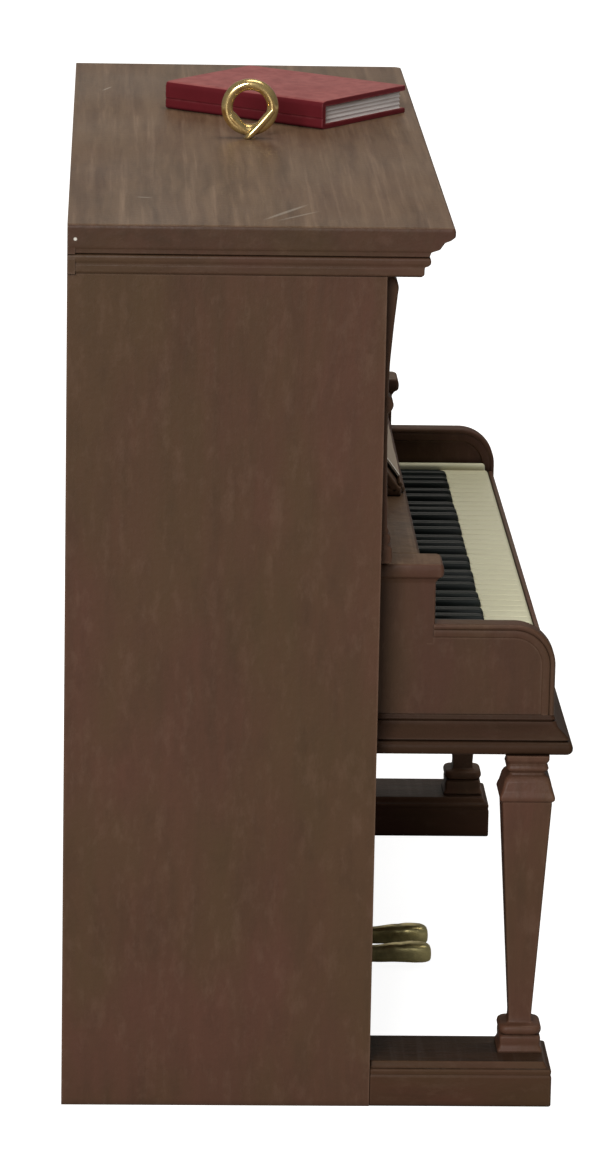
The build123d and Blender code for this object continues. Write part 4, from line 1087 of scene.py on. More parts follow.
# ---------------------------------------------------------------- keyboard end
@dataclass
class KeyBed:
    """Flared fascia over a round lip, with a tail that fills the case between its sides.

    The fascia's rows are (inset from the lip's outline, height).
    """

    half: float = 48.5
    lip: float = 1.35
    lip_flatness: float = 0.75
    fascia: Rows = (
        (0.65, 1.42), (0.4, 1.55), (0.43, 1.7), (1.48, 2.6), (1.69, 3.15), (1.87, 3.2), (1.75, 3.4),
        (1.9, 3.8),
    )
    corner: float = 0.45
    lap: float = 0.3
    tail_round: float = 0.04

    def build(self, shop: Workshop) -> None:
        """Makes the bed: each level of its front and sides is drawn in from the lip's outline.

        The lip's section at angle a is flatness r (1 - cos a) in, and r (1 + sin a) up.
        """
        low, high = node_box("key_bed")
        board = node_box("front_board")[0]
        a = np.linspace(-pi / 2, pi / 2, 9)
        r = self.lip / 2
        lip = spread(self.lip_flatness * r * (1 - np.cos(a)), r + r * np.sin(a))
        inset, height = np.vstack([lip, self.fascia]).T
        levels = spread(
            inset - self.half,
            self.half - inset,
            low[1] + inset,
            board[1] + self.lap,
            low[2] + height,
            self.corner,
        )
        form = Form().stack(levels, arc=5)
        form.stack(brick((board[0], board[1], low[2]), (-board[0], high[1], high[2]), self.tail_round))
        shop.place("key_bed", form, Look.WALNUT, ["key_bed"], sharp=50, finish=SHADED_KEY_BED_WALNUT)


@dataclass
class Arm:
    """Arm with a round front corner and a moulded band along its top and front."""

    corner: float = 4.3
    edge_round: float = 0.28
    bead: float = 0.5
    band: float = 1.4
    outer_sink: float = 0.16
    inner_sink: float = 0.3
    joint: float = 0.1
    lap: float = 2.0
    dive: float = 0.04
    turns: int = 20

    def edge_path(self, low: Array, high: Array, inset: Sequence[float]) -> Array:
        """Points along the arm's front, corner and top, for each distance drawn in from them.

        The corner is a quarter of radius corner - inset; the path ends just behind the front of
        the key block.

        Args:
            low: Lowest corner of the arm.
            high: Highest corner.
            inset: How far each line is drawn in.

        Returns:
            Points (y, z) from the foot of the front to the end of the top, shape (points, insets, 2).
        """
        inset = np.asarray(inset, float)[None, :]
        a = np.linspace(pi, pi / 2, self.turns)[:, None]
        radius = self.corner - inset
        arc_y = low[1] + self.corner + radius * np.cos(a)
        arc_z = high[2] - self.corner + radius * np.sin(a)
        front = spread(low[1] + inset, low[2])
        top = spread(high[1] + self.joint, high[2] - inset)
        return np.concatenate([front, spread(arc_y, arc_z), top])

    def band_form(self, low: Array, high: Array) -> Form:
        """The band: a closed profile of (inset, depth) carried along the front, corner and top."""
        thick = high[0] - low[0]
        e, s, t = self.edge_round, self.outer_sink, self.inner_sink
        outer = [
            (self.band, s + 0.05), (self.band, s), (self.band - 0.12, 0.04), (self.band - 0.5, 0.02),
            (self.bead + 0.12, 0.06), (self.bead + 0.05, s + 0.04), (self.bead, 0.08),
            (self.bead * 0.6, 0.0), (e * 0.8, 0.0), (e * 0.3, 0.1), (0.0, e),
        ]
        inner = [
            (0.0, thick - e), (e * 0.3, thick - 0.1), (self.bead * 0.7, thick), (self.bead, thick - 0.12),
            (self.bead + 0.1, thick - 0.12), (self.bead + 0.2, thick - 0.04), (self.band, thick - 0.04),
            (self.band + 0.15, thick - t), (self.band + 0.15, thick - t - 0.05),
        ]
        inset, depth = soften(outer + inner, 0.08, 2).T
        path = self.edge_path(low, high, inset)
        return Form().grid(spread(low[0] + depth, path[..., 0], path[..., 1]))

    def plate(self, low: Array, high: Array) -> Array:
        """The plate between the band's faces; it laps over the key block and dives slowly into it."""
        hidden = self.edge_path(low, high, [self.band * 0.6])[:, 0]
        shoulder = high[2] - self.band - 0.6
        dive, rear = high[1] + self.joint * 6, high[1] + self.lap
        behind = [(dive, shoulder), (rear, shoulder), (rear, low[2]), (dive, low[2])]
        outline = np.concatenate([hidden, [(high[1] + self.joint, shoulder)], behind])[::-1]
        y, z = outline.T
        outer = low[0] + self.outer_sink + np.where(y > dive + 0.01, self.dive, 0.0)
        return np.stack([spread(outer, y, z), spread(high[0] - self.inner_sink, y, z)])

    def build(self, shop: Workshop) -> None:
        """Makes both arms, each a band round a plate."""
        low, high = node_box("arm_left")
        form = self.band_form(low, high).grid(self.plate(low, high))
        shop.pair("arm", form, sharp=40, finish=SHADED_WALNUT)


@dataclass
class KeyBlock:
    """Key block with a nosed cap over a small cove.

    The cap's rows are (drop from the top, share of its overhang, corner radius).
    """

    cap: Rows = (
        (2.05, 0.0, 0.2), (1.85, 0.15, 0.25), (1.6, 0.35, 0.3), (1.35, 0.9, 0.35), (0.9, 1.0, 0.4),
        (0.5, 0.97, 0.4), (0.12, 0.8, 0.4), (0.0, 0.45, 0.3),
    )
    row_round: float = 0.3
    side: float = 0.4
    front: float = 0.8
    outer_sink: float = 0.166
    square: float = 0.03
    corner: float = 0.2
    blend: float = 0.6

    def build(self, shop: Workshop) -> None:
        """Makes both blocks as one stack each; below the arm's top the front corners are square."""
        low, high = node_box("key_block_left")
        arm_top = node_box("arm_left")[1][2] - low[2]
        post = (
            (0.0, 0.0, self.square),
            (arm_top - self.blend, 0.0, self.square),
            (arm_top, 0.0, self.corner),
        )
        z, overhang, corner = soften(climb(low[2], post, high[2], self.cap), self.row_round).T
        bare = 1 - overhang
        levels = spread(
            low[0] + (self.side + self.outer_sink) * bare,
            high[0] - self.side * bare,
            low[1] + self.front * bare,
            high[1],
            z,
            corner,
        )
        shop.pair("key_block", Form().stack(levels), sharp=50, finish=TOP_LIT_WALNUT)


# ---------------------------------------------------------------- legs and toes
@dataclass
class Leg:
    """Tapered square leg between a plinth with a cushion and a flared capital.

    The rows are (height, width, corner radius): the foot's and the shaft's rise from the floor of
    the leg, and the capital's fall from its top. The taper runs from the shaft to the capital.
    """

    foot: Rows = (
        (0.0, 4.6, 0.2), (0.25, 4.7, 0.25), (0.5, 4.4, 0.3), (0.8, 4.2, 0.3), (1.2, 4.25, 0.3),
        (1.65, 4.25, 0.3), (1.85, 3.9, 0.4), (1.89, 3.8, 0.6),
    )
    shaft: Rows = ((2.95, 2.85, 0.3), (3.1, 2.45, 0.18), (3.7, 2.35, 0.16))
    capital: Rows = (
        (5.1, 5.1, 0.22), (4.8, 5.1, 0.22), (4.78, 5.2, 0.2), (4.6, 5.62, 0.25), (4.35, 5.7, 0.25),
        (4.05, 5.55, 0.3), (3.7, 5.25, 0.35), (2.7, 4.8, 0.5), (2.35, 4.4, 0.5), (2.05, 3.7, 0.4),
        (1.8, 3.6, 0.4), (1.7, 4.0, 0.5), (1.4, 4.35, 0.5), (1.05, 4.1, 0.4), (0.95, 3.85, 0.3),
        (0.74, 4.1, 0.3), (0.5, 4.4, 0.3), (0.0, 4.4, 0.25),
    )
    row_round: float = 0.12
    cushion_height: float = 2.4
    cushion_half: float = 0.5
    cushion_core: float = 3.85
    cushion_bulge: float = 0.6
    cushion_corner: float = 0.9

    def build(self, shop: Workshop) -> None:
        """Makes both legs as stacks of rounded squares.

        The cushion at angle a is core + bulge cos a wide, at its height + half sin a.
        """
        low, high = node_box("leg_left")
        a = np.linspace(-pi / 2, pi / 2, 9)
        cushion_z = low[2] + self.cushion_height + self.cushion_half * np.sin(a)
        cushion = spread(cushion_z, self.cushion_core + self.cushion_bulge * np.cos(a), self.cushion_corner)
        foot = soften(np.array(self.foot) + (low[2], 0.0, 0.0), self.row_round, 2)
        upper = soften(climb(low[2], self.shaft, high[2], self.capital), self.row_round, 2)
        z, width, corner = np.vstack([foot, cushion, upper]).T
        x, y = (low[:2] + high[:2]) / 2
        half = width / 2
        levels = spread(x - half, x + half, y - half, y + half, z, corner)
        shop.pair("leg", Form().stack(levels), sharp=45)


@dataclass
class Toe:
    """Toe block with a step and a cove along its top edges.

    The rows are (height, inset, corner radius): the foot's rise from the floor and the head's
    fall from the top.
    """

    foot: Rows = ((0.0, 0.12, 0.15), (0.12, 0.0, 0.2))
    head: Rows = (
        (1.55, 0.0, 0.22), (1.4, 0.06, 0.22), (1.28, 0.12, 0.22), (1.2, 0.05, 0.22), (0.85, 0.02, 0.25),
        (0.7, 0.12, 0.3), (0.62, 0.45, 0.3), (0.3, 0.62, 0.3), (0.05, 0.78, 0.3), (0.0, 0.9, 0.3),
    )
    row_round: float = 0.15

    def build(self, shop: Workshop) -> None:
        """Makes both blocks."""
        low, high = node_box("toe_left")
        z, inset, corner = soften(climb(low[2], self.foot, high[2], self.head), self.row_round).T
        levels = spread(low[0] + inset, high[0] - inset, low[1] + inset, high[1], z, corner)
        shop.pair("toe", Form().stack(levels), sharp=50, finish=SHADED_TOE_WALNUT)


# ---------------------------------------------------------------- keyboard
@dataclass
class Keyboard:
    """White moulding with a groove between keys, and the black insert.

    The black rows are (drop from the top, side inset, nose inset, corner radius), from the lowest.
    """

    keys: int = 38
    top: float = 45.3
    land: float = 0.6
    groove: float = 0.27
    depth: float = 0.3
    crown: float = 0.05
    front_round: float = 0.45
    land_start: float = 0.25
    groove_start: float = 0.35
    field_start: float = 1.4
    rim: float = 0.95
    rim_round: float = 0.4
    rim_setback: float = 0.35
    rim_foot: float = 0.9
    black_width: float = 1.3
    black_height: float = 0.85
    black_steps: tuple[float, ...] = (0.88, 2.12, 3.85, 5.0, 6.15)
    black_rows: Rows = (
        (0.95, 0.0, 0.0, 0.14), (0.45, 0.03, 0.06, 0.16), (0.2, 0.1, 0.2, 0.2), (0.05, 0.24, 0.42, 0.24),
        (0.0, 0.42, 0.7, 0.2),
    )
    floor_rise: float = 0.03
    floor_setback: float = 0.55
    floor_gap: float = 0.05
    floor_round: float = 0.06
    uneven_nose: float = 0.12
    uneven_width: float = 0.06
    under_block: float = 0.75
    beside_block: float = 0.5

    def places(self, half: float) -> tuple[float, list[float]]:
        """Pitch of the white keys and the centres of the black ones, from A up.

        Args:
            half: Half of the field between the rims.

        Returns:
            The pitch and the centres in mm.
        """
        pitch = 2 * half / self.keys
        first_c = -half + 2 * pitch
        steps = [7 * octave + step for octave in range(-1, 5) for step in self.black_steps]
        centres = [first_c + step * pitch for step in steps]
        return pitch, [x for x in centres if first_c - 1.2 * pitch < x < half - self.black_width / 2]

    def white_form(self) -> Form:
        """White keys: a slab over (x, y) whose top dips at each groove and rolls over at the front.

        Height is top - depth g + crown (1 - u^2), with u from -1 to 1 over a key and g a narrow
        bell at each joint that starts behind the front land; the front edge is a quarter round.
        """
        low, high = node_box("white_keyboard")
        half = high[0] - self.rim
        pitch, _ = self.places(half)
        across = np.array([-0.5, -0.46, -0.43, -0.4, -0.2, 0.0, 0.2, 0.4, 0.43, 0.46])
        middles = np.arange(self.keys)[:, None] + 0.5
        x = np.append((-half + pitch * (middles + across)).ravel(), half)
        u = 2 * (((x + half) / pitch) % 1.0) - 1
        joint = np.exp(-(((1 - np.abs(u)) * pitch / self.groove) ** 2) * 4)
        joint[[0, -1]] = 0.0
        a = np.linspace(0, pi / 2, 5)
        rolled = self.front_round * (1 - np.cos(a))
        land = [self.land, self.land + self.groove_start]
        y = low[1] + np.concatenate([rolled, land, np.linspace(self.field_start, high[1] - low[1], 8)])
        drop = np.zeros(len(y))
        drop[: len(a)] = self.front_round * (1 - np.sin(a))
        reach = np.clip((y - low[1] - self.land_start) / (self.land + 0.2), 0.0, 1.0)[:, None]
        relief = self.crown * (1 - u**2) - self.depth * joint
        z = self.top - self.crown - drop[:, None] + relief * reach
        surface = spread(x, y[:, None], z)
        under = surface[[0, -1]].copy()
        under[..., 2] = low[2]
        loop = np.concatenate([under[1:], under[:1], surface])
        return Form().grid(loop.transpose(1, 0, 2)[:, ::-1])

    def white(self) -> Form:
        """White moulding: the keys, and a rounded bar that rises from the slab at each end."""
        low, high = node_box("white_keyboard")
        back = node_box("key_block_left")[0][1] + self.under_block
        form = self.white_form()
        for sign in (-1, 1):
            inner, outer = np.sort([sign * (high[0] - self.rim), sign * high[0]])
            foot = (inner, low[1] + self.rim_setback, self.top - self.rim_foot)
            form.stack(brick(foot, (outer, back, high[2]), self.rim_round))
        return form

    def black(self) -> Form:
        """Black insert: a floor, wider behind the blocks' fronts, and a rounded bar for each key."""
        low, high = node_box("black_keys")
        block_low, block_high = node_box("key_block_left")
        half = node_box("white_keyboard")[1][0] - self.rim
        split = block_low[1] + self.under_block
        floor = self.top + self.floor_rise
        ahead = half - self.floor_gap
        behind = abs(block_high[0]) - self.beside_block
        random = np.random.default_rng(7)
        form = Form()
        front = low[1] + self.floor_setback
        form.stack(brick((-ahead, front, low[2]), (ahead, split, floor), self.floor_round))
        form.stack(brick((-behind, split, low[2]), (behind, high[1], floor), self.floor_round))
        for x in self.places(half)[1]:
            reach = low[1] + self.uneven_nose * random.random()
            width = self.black_width * (1 + self.uneven_width * random.standard_normal())
            drop, side, nose, corner = soften(self.black_rows, 0.12, 2).T
            levels = spread(
                x - width / 2 + side,
                x + width / 2 - side,
                reach + nose,
                high[1],
                self.top + self.black_height - drop,
                np.minimum(corner, 0.45 * (width - 2 * side)),
            )
            form.stack(levels, arc=3)
        return form

    def build(self, shop: Workshop) -> None:
        """Makes the white moulding and the black insert."""
        shop.place("white_keyboard", self.white(), Look.IVORY, ["white_keyboard"], sharp=50)
        shop.place("black_keys", self.black(), Look.BLACK, ["black_keys"], sharp=50)


# ---------------------------------------------------------------- desk, book, eye, pedals
@dataclass
class MusicDesk:
    """Leaning desk with a ledge, and the open sheet that stands on it."""

    lean: float = 36.0
    half: float = 17.0
    board: float = 0.9
    setback: float = 1.0
    base: float = 1.0
    base_depth: tuple[float, float] = (0.7, 2.9)
    ledge: float = 0.45
    ledge_depth: float = 0.18
    ledge_margin: float = 1.0
    scroll_margin: float = 2.2
    scroll_half: float = 0.6
    scroll_depth: tuple[float, float] = (0.25, 1.0)
    scroll_height: float = 0.75
    sheet_half: float = 13.5
    sheet_length: float = 8.0
    sheet_thickness: float = 0.2
    sheet_bow: float = 0.06
    pad: float = 0.42
    pad_margin: float = 0.6
    margin: float = 0.5
    white_up: float = 2.6

    def slope(self, points: Array) -> Array:
        """Turns (x, up the slope, out of it) into the desk's place above the shelf."""
        low, high = node_box("shelf")
        a = radians(90 - self.lean)
        x, up, out = points[..., 0], points[..., 1], points[..., 2]
        y = low[1] + self.setback + up * cos(a) - out * sin(a)
        z = high[2] + self.base + up * sin(a) + out * cos(a)
        return np.stack([x, y, z], axis=-1)

    def desk(self) -> Form:
        """Leaning board with its ledge and a pad behind the sheet, on a foot with two scrolls."""
        low, high = node_box("music_desk")
        shelf_low, shelf_high = node_box("shelf")
        top = (high[2] - low[2] - self.base) / sin(radians(90 - self.lean)) - 0.3
        ledge, pad = self.half - self.ledge_margin, self.sheet_half - self.pad_margin
        pad_top = self.sheet_length - self.pad_margin
        form = Form().stack(brick((-self.half, -0.3, -self.board), (self.half, top, 0.0), 0.2))
        form.stack(brick((-ledge, -0.35, 0.0), (ledge, self.ledge_depth, self.ledge), 0.15))
        form.stack(brick((-pad, self.ledge_depth, -0.1), (pad, pad_top, self.pad), 0.2))
        form.mapped(self.slope)
        floor = shelf_high[2]
        front, back = shelf_low[1] + np.array(self.base_depth)
        form.stack(brick((-self.half, front, floor), (self.half, back, floor + self.base), 0.25))
        front, back = shelf_low[1] + np.array(self.scroll_depth)
        top = floor + self.scroll_height
        for x in (self.scroll_margin - self.half, self.half - self.scroll_margin):
            form.stack(brick((x - self.scroll_half, front, floor), (x + self.scroll_half, back, top), 0.3))
        return form

    def sheet(self) -> Form:
        """Song sheet: two leaves from the fold at u = 0, each bowed by a half sine of u."""
        u = np.linspace(-1, 1, 41)[:, None]
        v = np.linspace(0.25, 0.2 + self.sheet_length, 9)
        bow = 0.5 + self.sheet_bow * np.abs(np.sin(pi * u))
        front = spread(self.sheet_half * u, v, bow)
        back = front - (0, 0, self.sheet_thickness)
        return Form().grid(np.concatenate([back, front[:, ::-1]], axis=1)).mapped(self.slope)

    def build(self, shop: Workshop) -> None:
        """Makes the desk and the sheet, whose ends are white up to a height above the desk's foot."""
        shop.place("music_desk", self.desk(), Look.WALNUT, ["music_desk"], sharp=45)
        piece = shop.place("song_sheet", self.sheet(), Look.SHEET, ["song_sheet"], sharp=60)
        piece.data.materials.append(shop.wardrobe.material(Look.SHEET, SHEET_EDGE))
        end = (self.sheet_half - self.margin) * MM
        limit = (node_box("shelf")[1][2] + self.base + self.white_up) * MM
        for face in piece.data.polygons:
            if abs(face.center.x) > end and face.center.z < limit:
                face.material_index = 1


@dataclass
class Book:
    """Song book: a case binding with a creased spine round a block of pages."""

    turn: float = -37.8
    board: float = 0.55
    square: float = 0.35
    crease: float = 0.62
    spine_round: float = 0.35
    end_round: float = 0.1
    gatherings: float = 4.5
    ripple: float = 0.11

    def place_on_lid(self, corner: Array, level: float) -> Callable[[Array], Array]:
        """A function that lays local points on the lid with the spine's near corner at a point."""
        a = radians(self.turn)

        def lay(points: Array) -> Array:
            """Turned and moved points."""
            x = corner[0] + cos(a) * points[..., 0] - sin(a) * points[..., 1]
            y = corner[1] + sin(a) * points[..., 0] + cos(a) * points[..., 1]
            return np.stack([x, y, points[..., 2] + level], axis=-1)

        return lay

    def build(self, shop: Workshop) -> None:
        """Works the book's plan out of its box, then makes the cover and the pages."""
        low, high = node_box("book_cover")
        c, s = cos(radians(-self.turn)), sin(radians(-self.turn))
        spans = high - low
        width, length = np.linalg.solve(np.array([[c, s], [s, c]]), spans[:2])
        corner = np.array([low[0], low[1] + width * s])
        lay = self.place_on_lid(corner, low[2])
        cover = self.cover(width, length, spans[2]).mapped(lay)
        pages = self.pages(width, length, spans[2]).mapped(lay)
        shop.place("book_cover", cover, Look.CRIMSON, ["book_cover"], sharp=50)
        shop.place("book_pages", pages, Look.PAGES, ["book_pages"], sharp=30)

    def cover(self, width: float, length: float, thick: float) -> Form:
        """Cover: one outline in (x, z), carried along the spine.

        The outline goes out along the top board, back under it, down the spine's inside, out over
        the lower board and home; the spine's outside has a shallow crease above the lower board.

        Args:
            width: From spine to fore edge.
            length: Of the spine.
            thick: Of the whole book.

        Returns:
            The closed form.
        """
        b, r = self.board, self.spine_round
        path = np.array(
            [
                (width, thick - 0.1), (width - 0.1, thick), (r * 2, thick), (0.12, thick - 0.12),
                (0.0, thick - 0.55), (0.0, b + self.crease + 0.12), (0.13, b + self.crease),
                (0.02, b + self.crease - 0.14), (0.0, 0.3), (0.14, 0.05), (0.5, 0.0), (width - 0.1, 0.0),
                (width, 0.1), (width, b - 0.1), (width - 0.1, b), (b, b), (b, thick - b),
                (width - 0.1, thick - b), (width, thick - b + 0.1), (width, thick - 0.1),
            ]
        )
        outline = soften(path, 0.12, 3)[:-1]
        a = np.linspace(0, pi / 2, 4)
        run = self.end_round * (1 - np.cos(a))
        drawn = self.end_round * (1 - np.sin(a))
        middle = np.linspace(0, length, 14)[1:-1]
        y = np.concatenate([run, middle, length - run[::-1]])
        shrink = 0.6 * np.concatenate([drawn, 0 * middle, drawn[::-1]])[:, None]
        centre = np.array([width / 2, thick / 2])
        lean = (outline - centre) / np.abs(outline - centre).max(axis=0)
        x = outline[:, 0] - shrink * lean[:, 0]
        z = outline[:, 1] - shrink * lean[:, 1]
        return Form().grid(spread(x, y[:, None], z)[:, ::-1])

    def pages(self, width: float, length: float, thick: float) -> Form:
        """Pages: a block whose three open edges ripple from gathering to gathering.

        A level is drawn in by a sine of its height, so the edges show as a few soft layers.
        """
        low, high = self.board, thick - self.board
        z = np.linspace(low, high, 25)
        share = (z - low) / (high - low)
        ripple = self.ripple * np.abs(np.sin(pi * self.gatherings * share)) ** 0.7
        inset = self.square + ripple
        levels = spread(self.board, width - inset, inset, length - inset, z, 0.12)
        return Form().stack(levels, arc=2)


@dataclass(frozen=True)
class WireEnd:
    """One end of the wire: where it leaves the ring, and how it comes down to the foot.

    It leaves at a turn in degrees from the ring's lowest point and ends at a lap along X, a foot
    across it and a height above the lid; it has its own radius (thick) and a bow to one side.
    """

    turn: float
    lap: float
    foot: float
    height: float
    thick: float
    bow: float


@dataclass
class Eye:
    """Wire eye: a ring whose ends run to the foot across the hole, one in front of the other.

    The shank's radii run from its foot up. An end's taper is shares of its way and, for each, the
    share of its thickness.
    """

    wire: float = 0.63
    shank: tuple[float, ...] = (0.6, 0.74, 0.76, 0.76, 0.76, 0.7)
    taper: Rows = ((0.0, 0.25, 0.85, 0.96, 1.0), (0.8, 1.0, 0.85, 0.6, 0.2))
    ends: tuple[WireEnd, ...] = (
        WireEnd(turn=-84.0, lap=-0.8, foot=0.45, height=0.0, thick=0.46, bow=-0.1),
        WireEnd(turn=78.0, lap=-0.15, foot=-0.3, height=0.35, thick=0.6, bow=0.22),
    )

    def build(self, shop: Workshop) -> None:
        """Makes the ring, its two ends and the shank below the lid.

        The ring is centre + (radius - wire cos b)(sin a, -cos a) across the hole and wire sin b
        along X; an end is a tapered tube, bowed by a half sine, from the ring to the foot.
        """
        low, high = node_box("hanging_eye")
        lid_top = node_box("lid")[1][2]
        y = (low[1] + high[1]) / 2
        radius = (high[1] - low[1]) / 2 - self.wire
        centre = high[2] - self.wire - radius
        a = np.linspace(0, 2 * pi, 96, endpoint=False)[:, None]
        b = np.linspace(0, 2 * pi, 28, endpoint=False)[None, :]
        reach = radius - self.wire * np.cos(b)
        ring = spread(self.wire * np.sin(b), y + reach * np.sin(a), centre - reach * np.cos(a))
        form = Form().grid(np.concatenate([ring, ring[:1]]), caps=False)
        for end in self.ends:
            turn = radians(end.turn)
            first = np.array([end.lap * 0.5, y + radius * sin(turn), centre - radius * cos(turn)])
            last = np.array([end.lap, y + end.foot, lid_top + end.height])
            share = np.linspace(0, 1, 24)[:, None]
            path = first + (last - first) * share
            path[:, 1] += end.bow * np.sin(pi * share[:, 0])
            form.tube(path, end.thick * np.interp(share[:, 0], *self.taper), 20)
        shank = spread(0.0, y, np.linspace(low[2], lid_top + 0.1, len(self.shank)))
        form.tube(shank, np.array(self.shank))
        shop.place("hanging_eye", form, Look.BRASS, ["hanging_eye"], "eye", sharp=60)


@dataclass
class Pedals:
    """Two cast pedals: a slim root that swells into a blunt toe.

    The swell's rows are (share of the way from tip to root, half width, half height, height of
    the middle).
    """

    swell: Rows = (
        (0.0, 0.3, 0.25, 1.5), (0.004, 0.58, 0.55, 1.55), (0.015, 0.8, 0.78, 1.6), (0.035, 0.96, 0.92, 1.64),
        (0.065, 1.1, 1.02, 1.68), (0.1, 1.18, 1.08, 1.7), (0.2, 1.24, 1.12, 1.72), (0.32, 1.16, 1.1, 1.74),
        (0.45, 0.98, 1.02, 1.66), (0.6, 0.84, 0.94, 1.52), (0.8, 0.78, 0.84, 1.46), (1.0, 0.76, 0.78, 1.44),
    )
    close: int = 6
    crease: float = 0.1
    crease_at: float = 0.34
    crease_width: float = 0.05
    peg: Rows = ((0.58, 0.0), (0.6, 0.1), (0.6, 2.5), (0.5, 2.6))
    peg_height: float = 1.2
    peg_ahead: float = 0.9

    def build(self, shop: Workshop) -> None:
        """Makes each pedal from superellipse sections.

        A section at angle a is (half width * sgn(cos a) |cos a|^0.6, half height * sgn(sin a)
        |sin a|^0.7) about its middle, less a bell-shaped crease across the top.
        """
        shares, *sizes = np.array(self.swell).T
        share = np.concatenate([shares[: self.close], np.linspace(0.15, 1.0, 22)])
        wide, tall, middle = (np.interp(share, shares, size)[:, None] for size in sizes)
        a = np.linspace(0, 2 * pi, 40, endpoint=False)
        c, s = np.cos(a), np.sin(a)
        bell = np.exp(-(((share[:, None] - self.crease_at) / self.crease_width) ** 2))
        crease = self.crease * bell * np.clip(s, 0, 1)
        across = wide * np.sign(c) * np.abs(c) ** 0.6
        height = middle + tall * np.sign(s) * np.abs(s) ** 0.7 - crease
        for node in ("pedal_left", "pedal_right"):
            low, high = node_box(node)
            x = (low[0] + high[0]) / 2
            root = node_box("lower_front_panel")[0][1]
            y = low[1] + share[:, None] * (root - low[1])
            z = np.maximum(height, low[2] + 0.05)
            form = Form().grid(spread(x + across, y, z)[:, ::-1])
            form.turned(np.array(self.peg), (x, root - self.peg_ahead, self.peg_height))
            shop.place(node, form, Look.GOLD, [node], sharp=60)


# ---------------------------------------------------------------- back and sound unit
@dataclass
class RearCover:
    """Rear cover with its door, screws, button and the sound unit behind it."""

    looks: tuple[tuple[str, Look, float], ...] = (
        ("rear_cover", Look.COVER, 0.0),
        ("battery_door", Look.COVER, 0.12),
        ("play_button", Look.BUTTON, 0.0),
        ("cover_screws", Look.SCREW, 0.06),
        ("door_screw", Look.SCREW, 0.06),
        ("board_screws", Look.SCREW, 0.06),
        ("eye_socket", Look.BUSH, 0.1),
        ("speaker_frame", Look.DARK, 0.1),
        ("speaker_cone", Look.CONE, 0.0),
        ("speaker_magnet", Look.MAGNET, 0.15),
        ("battery_case", Look.DARK, 0.12),
        ("button_cells", Look.CELL, 0.25),
        ("battery_contacts", Look.CELL, 0.0),
        ("circuit_board", Look.BOARD, 0.05),
        ("press_switch", Look.DARK, 0.15),
        ("sound_chip", Look.POTTING, 0.0),
        ("board_parts", Look.POTTING, 0.1),
        ("speaker_leads", Look.RED_LEAD, 0.0),
        ("battery_leads", Look.BLACK_LEAD, 0.0),
    )

    def build(self, shop: Workshop) -> None:
        """Dresses the nodes."""
        for node, look, edge in self.looks:
            shop.dress(node, look, edge)


# ---------------------------------------------------------------- studio
@dataclass(frozen=True)
class Lamp:
    """A soft square light: where it stands and its side in metres, its watts and its tint."""

    name: str
    place: Triple
    size: float
    power: float
    tint: Colour = (1.0, 1.0, 1.0)


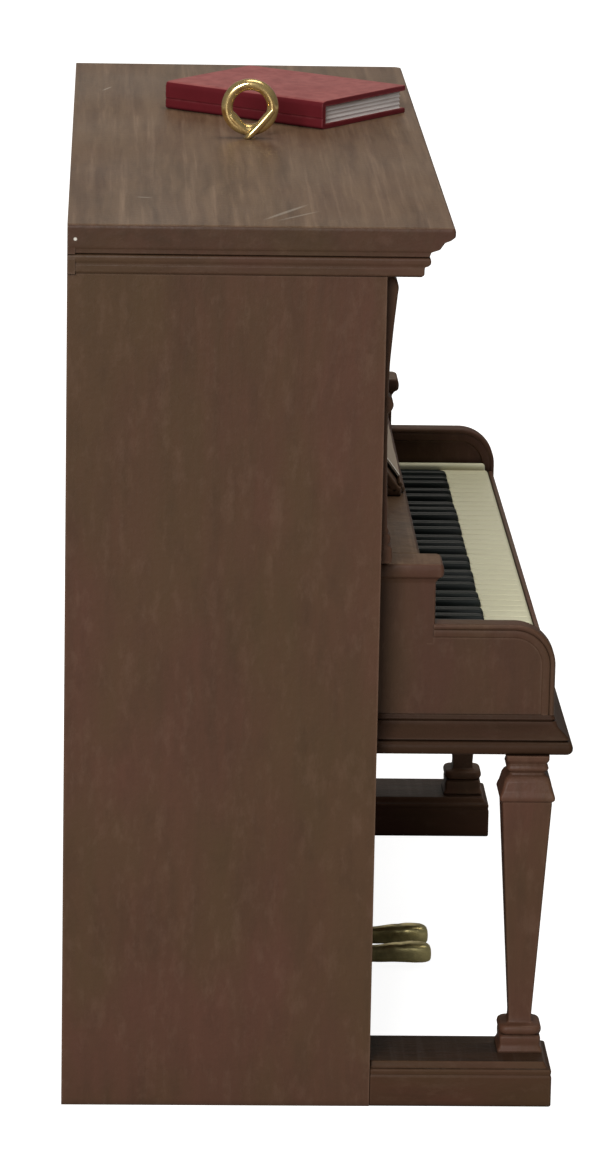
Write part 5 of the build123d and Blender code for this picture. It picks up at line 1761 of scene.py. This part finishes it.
@dataclass
class Studio:
    """Camera, lights, floor and world; all lights point at one target, in metres."""

    eye: Triple = (-558.80, 21.63, 185.45)
    yaw: float = -0.03918
    pitch: float = 0.24924
    roll: float = 0.01894
    focal: float = 162.90
    ambient: float = 0.14
    target: Triple = (0.0, 0.0, 0.05)
    lamps: tuple[Lamp, ...] = (
        Lamp("key", (-1.2, 0.36, 0.6), 0.5, 13.6),
        Lamp("overhead", (0.05, -0.2, 1.1), 0.6, 6.0, (1.0, 0.94, 0.85)),
        Lamp("card", (1.0, 0.0, 0.33), 0.5, 0.3, (1.0, 0.92, 0.8)),
    )
    floor_side: float = 8.0
    floor_drop: float = 0.00002
    glow: float = 0.93

    def camera(self) -> None:
        """Places the camera from its yaw and pitch off +X and its roll about the line of sight."""
        ahead = np.array([cos(self.yaw) * cos(self.pitch), sin(self.yaw) * cos(self.pitch), -sin(self.pitch)])
        right = np.cross(ahead, (0, 0, 1))
        right /= np.linalg.norm(right)
        up = np.cross(right, ahead)
        c, s = cos(self.roll), sin(self.roll)
        image_right = c * right + s * up
        image_up = -s * right + c * up
        turn = Matrix(np.stack([image_right, image_up, -ahead], axis=1).tolist()).to_4x4()
        data = bpy.data.cameras.new("camera")
        data.sensor_fit = "VERTICAL"
        data.sensor_height = 36.0
        data.lens = self.focal
        data.clip_start, data.clip_end = 0.01, 20.0
        camera = bpy.data.objects.new("camera", data)
        camera.matrix_world = Matrix.Translation(Vector(self.eye) * MM) @ turn
        bpy.context.scene.collection.objects.link(camera)
        bpy.context.scene.camera = camera

    def light(self, lamp: Lamp) -> None:
        """Adds a light that points at the target and stays out of the camera's sight."""
        data = bpy.data.lights.new(lamp.name, "AREA")
        data.size = lamp.size
        data.energy = lamp.power
        data.color = lamp.tint
        light = bpy.data.objects.new(lamp.name, data)
        light.location = lamp.place
        aim = Vector(self.target) - Vector(lamp.place)
        light.rotation_euler = aim.to_track_quat("-Z", "Y").to_euler()
        light.visible_camera = False
        bpy.context.scene.collection.objects.link(light)

    def floor(self) -> None:
        """Lays the pale floor that the piano stands on; it glows a little, like a lit sweep."""
        mesh = bpy.data.meshes.new("floor")
        half = self.floor_side / 2
        corners = [(-half, -half, 0), (half, -half, 0), (half, half, 0), (-half, half, 0)]
        mesh.from_pydata(corners, [], [(0, 1, 2, 3)])
        floor = bpy.data.objects.new("floor", mesh)
        floor.location.z = -self.floor_drop
        bpy.context.scene.collection.objects.link(floor)
        material, tree, shader, place = start_material("pale_floor")
        cloud = tree.noise(place, 3.0, 2.0)
        tree.feed(shader.inputs["Base Color"], tree.mix(cloud, (0.5, 0.5, 0.5), (0.52, 0.52, 0.52)))
        tree.feed(shader.inputs["Roughness"], 0.9)
        tree.feed(shader.inputs["Specular IOR Level"], 0.1)
        seen = tree.add("LightPath").outputs["Is Camera Ray"]
        tree.feed(shader.inputs["Emission Color"], (1.0, 1.0, 1.0))
        tree.feed(shader.inputs["Emission Strength"], tree.times(seen, self.glow))
        mesh.materials.append(material)

    def build(self) -> None:
        """Sets the camera, the world, the lights and the floor."""
        scene = bpy.context.scene
        scene.view_settings.view_transform = "Standard"
        scene.view_settings.look = "None"
        world = bpy.data.worlds.new("studio")
        world.use_nodes = True
        background = world.node_tree.nodes["Background"]
        background.inputs[0].default_value = (1.0, 1.0, 1.0, 1.0)
        tree = Tree(world.node_tree)
        seen = tree.add("LightPath").outputs["Is Camera Ray"]
        tree.feed(background.inputs[1], tree.remap(seen, 0.0, 1.0, self.ambient, 1.0))
        scene.world = world
        self.camera()
        self.floor()
        for lamp in self.lamps:
            self.light(lamp)


def main() -> None:
    """Builds the studio, then every sub-assembly in order."""
    logging.basicConfig(level=logging.INFO, format="%(name)s: %(message)s")
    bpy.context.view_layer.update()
    Studio().build()
    shop = Workshop(Wardrobe())
    for kind in (Lid, Carcase, Pilaster, KeyBed, Arm, KeyBlock, Leg, Toe, Keyboard, MusicDesk, Book, Eye,
                 Pedals, RearCover):
        kind().build(shop)
    left = sorted(set(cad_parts) - set(shop.done))
    if left:
        raise ValueError(f"nodes without a finish: {left}")


if __name__ == "__main__":
    main()
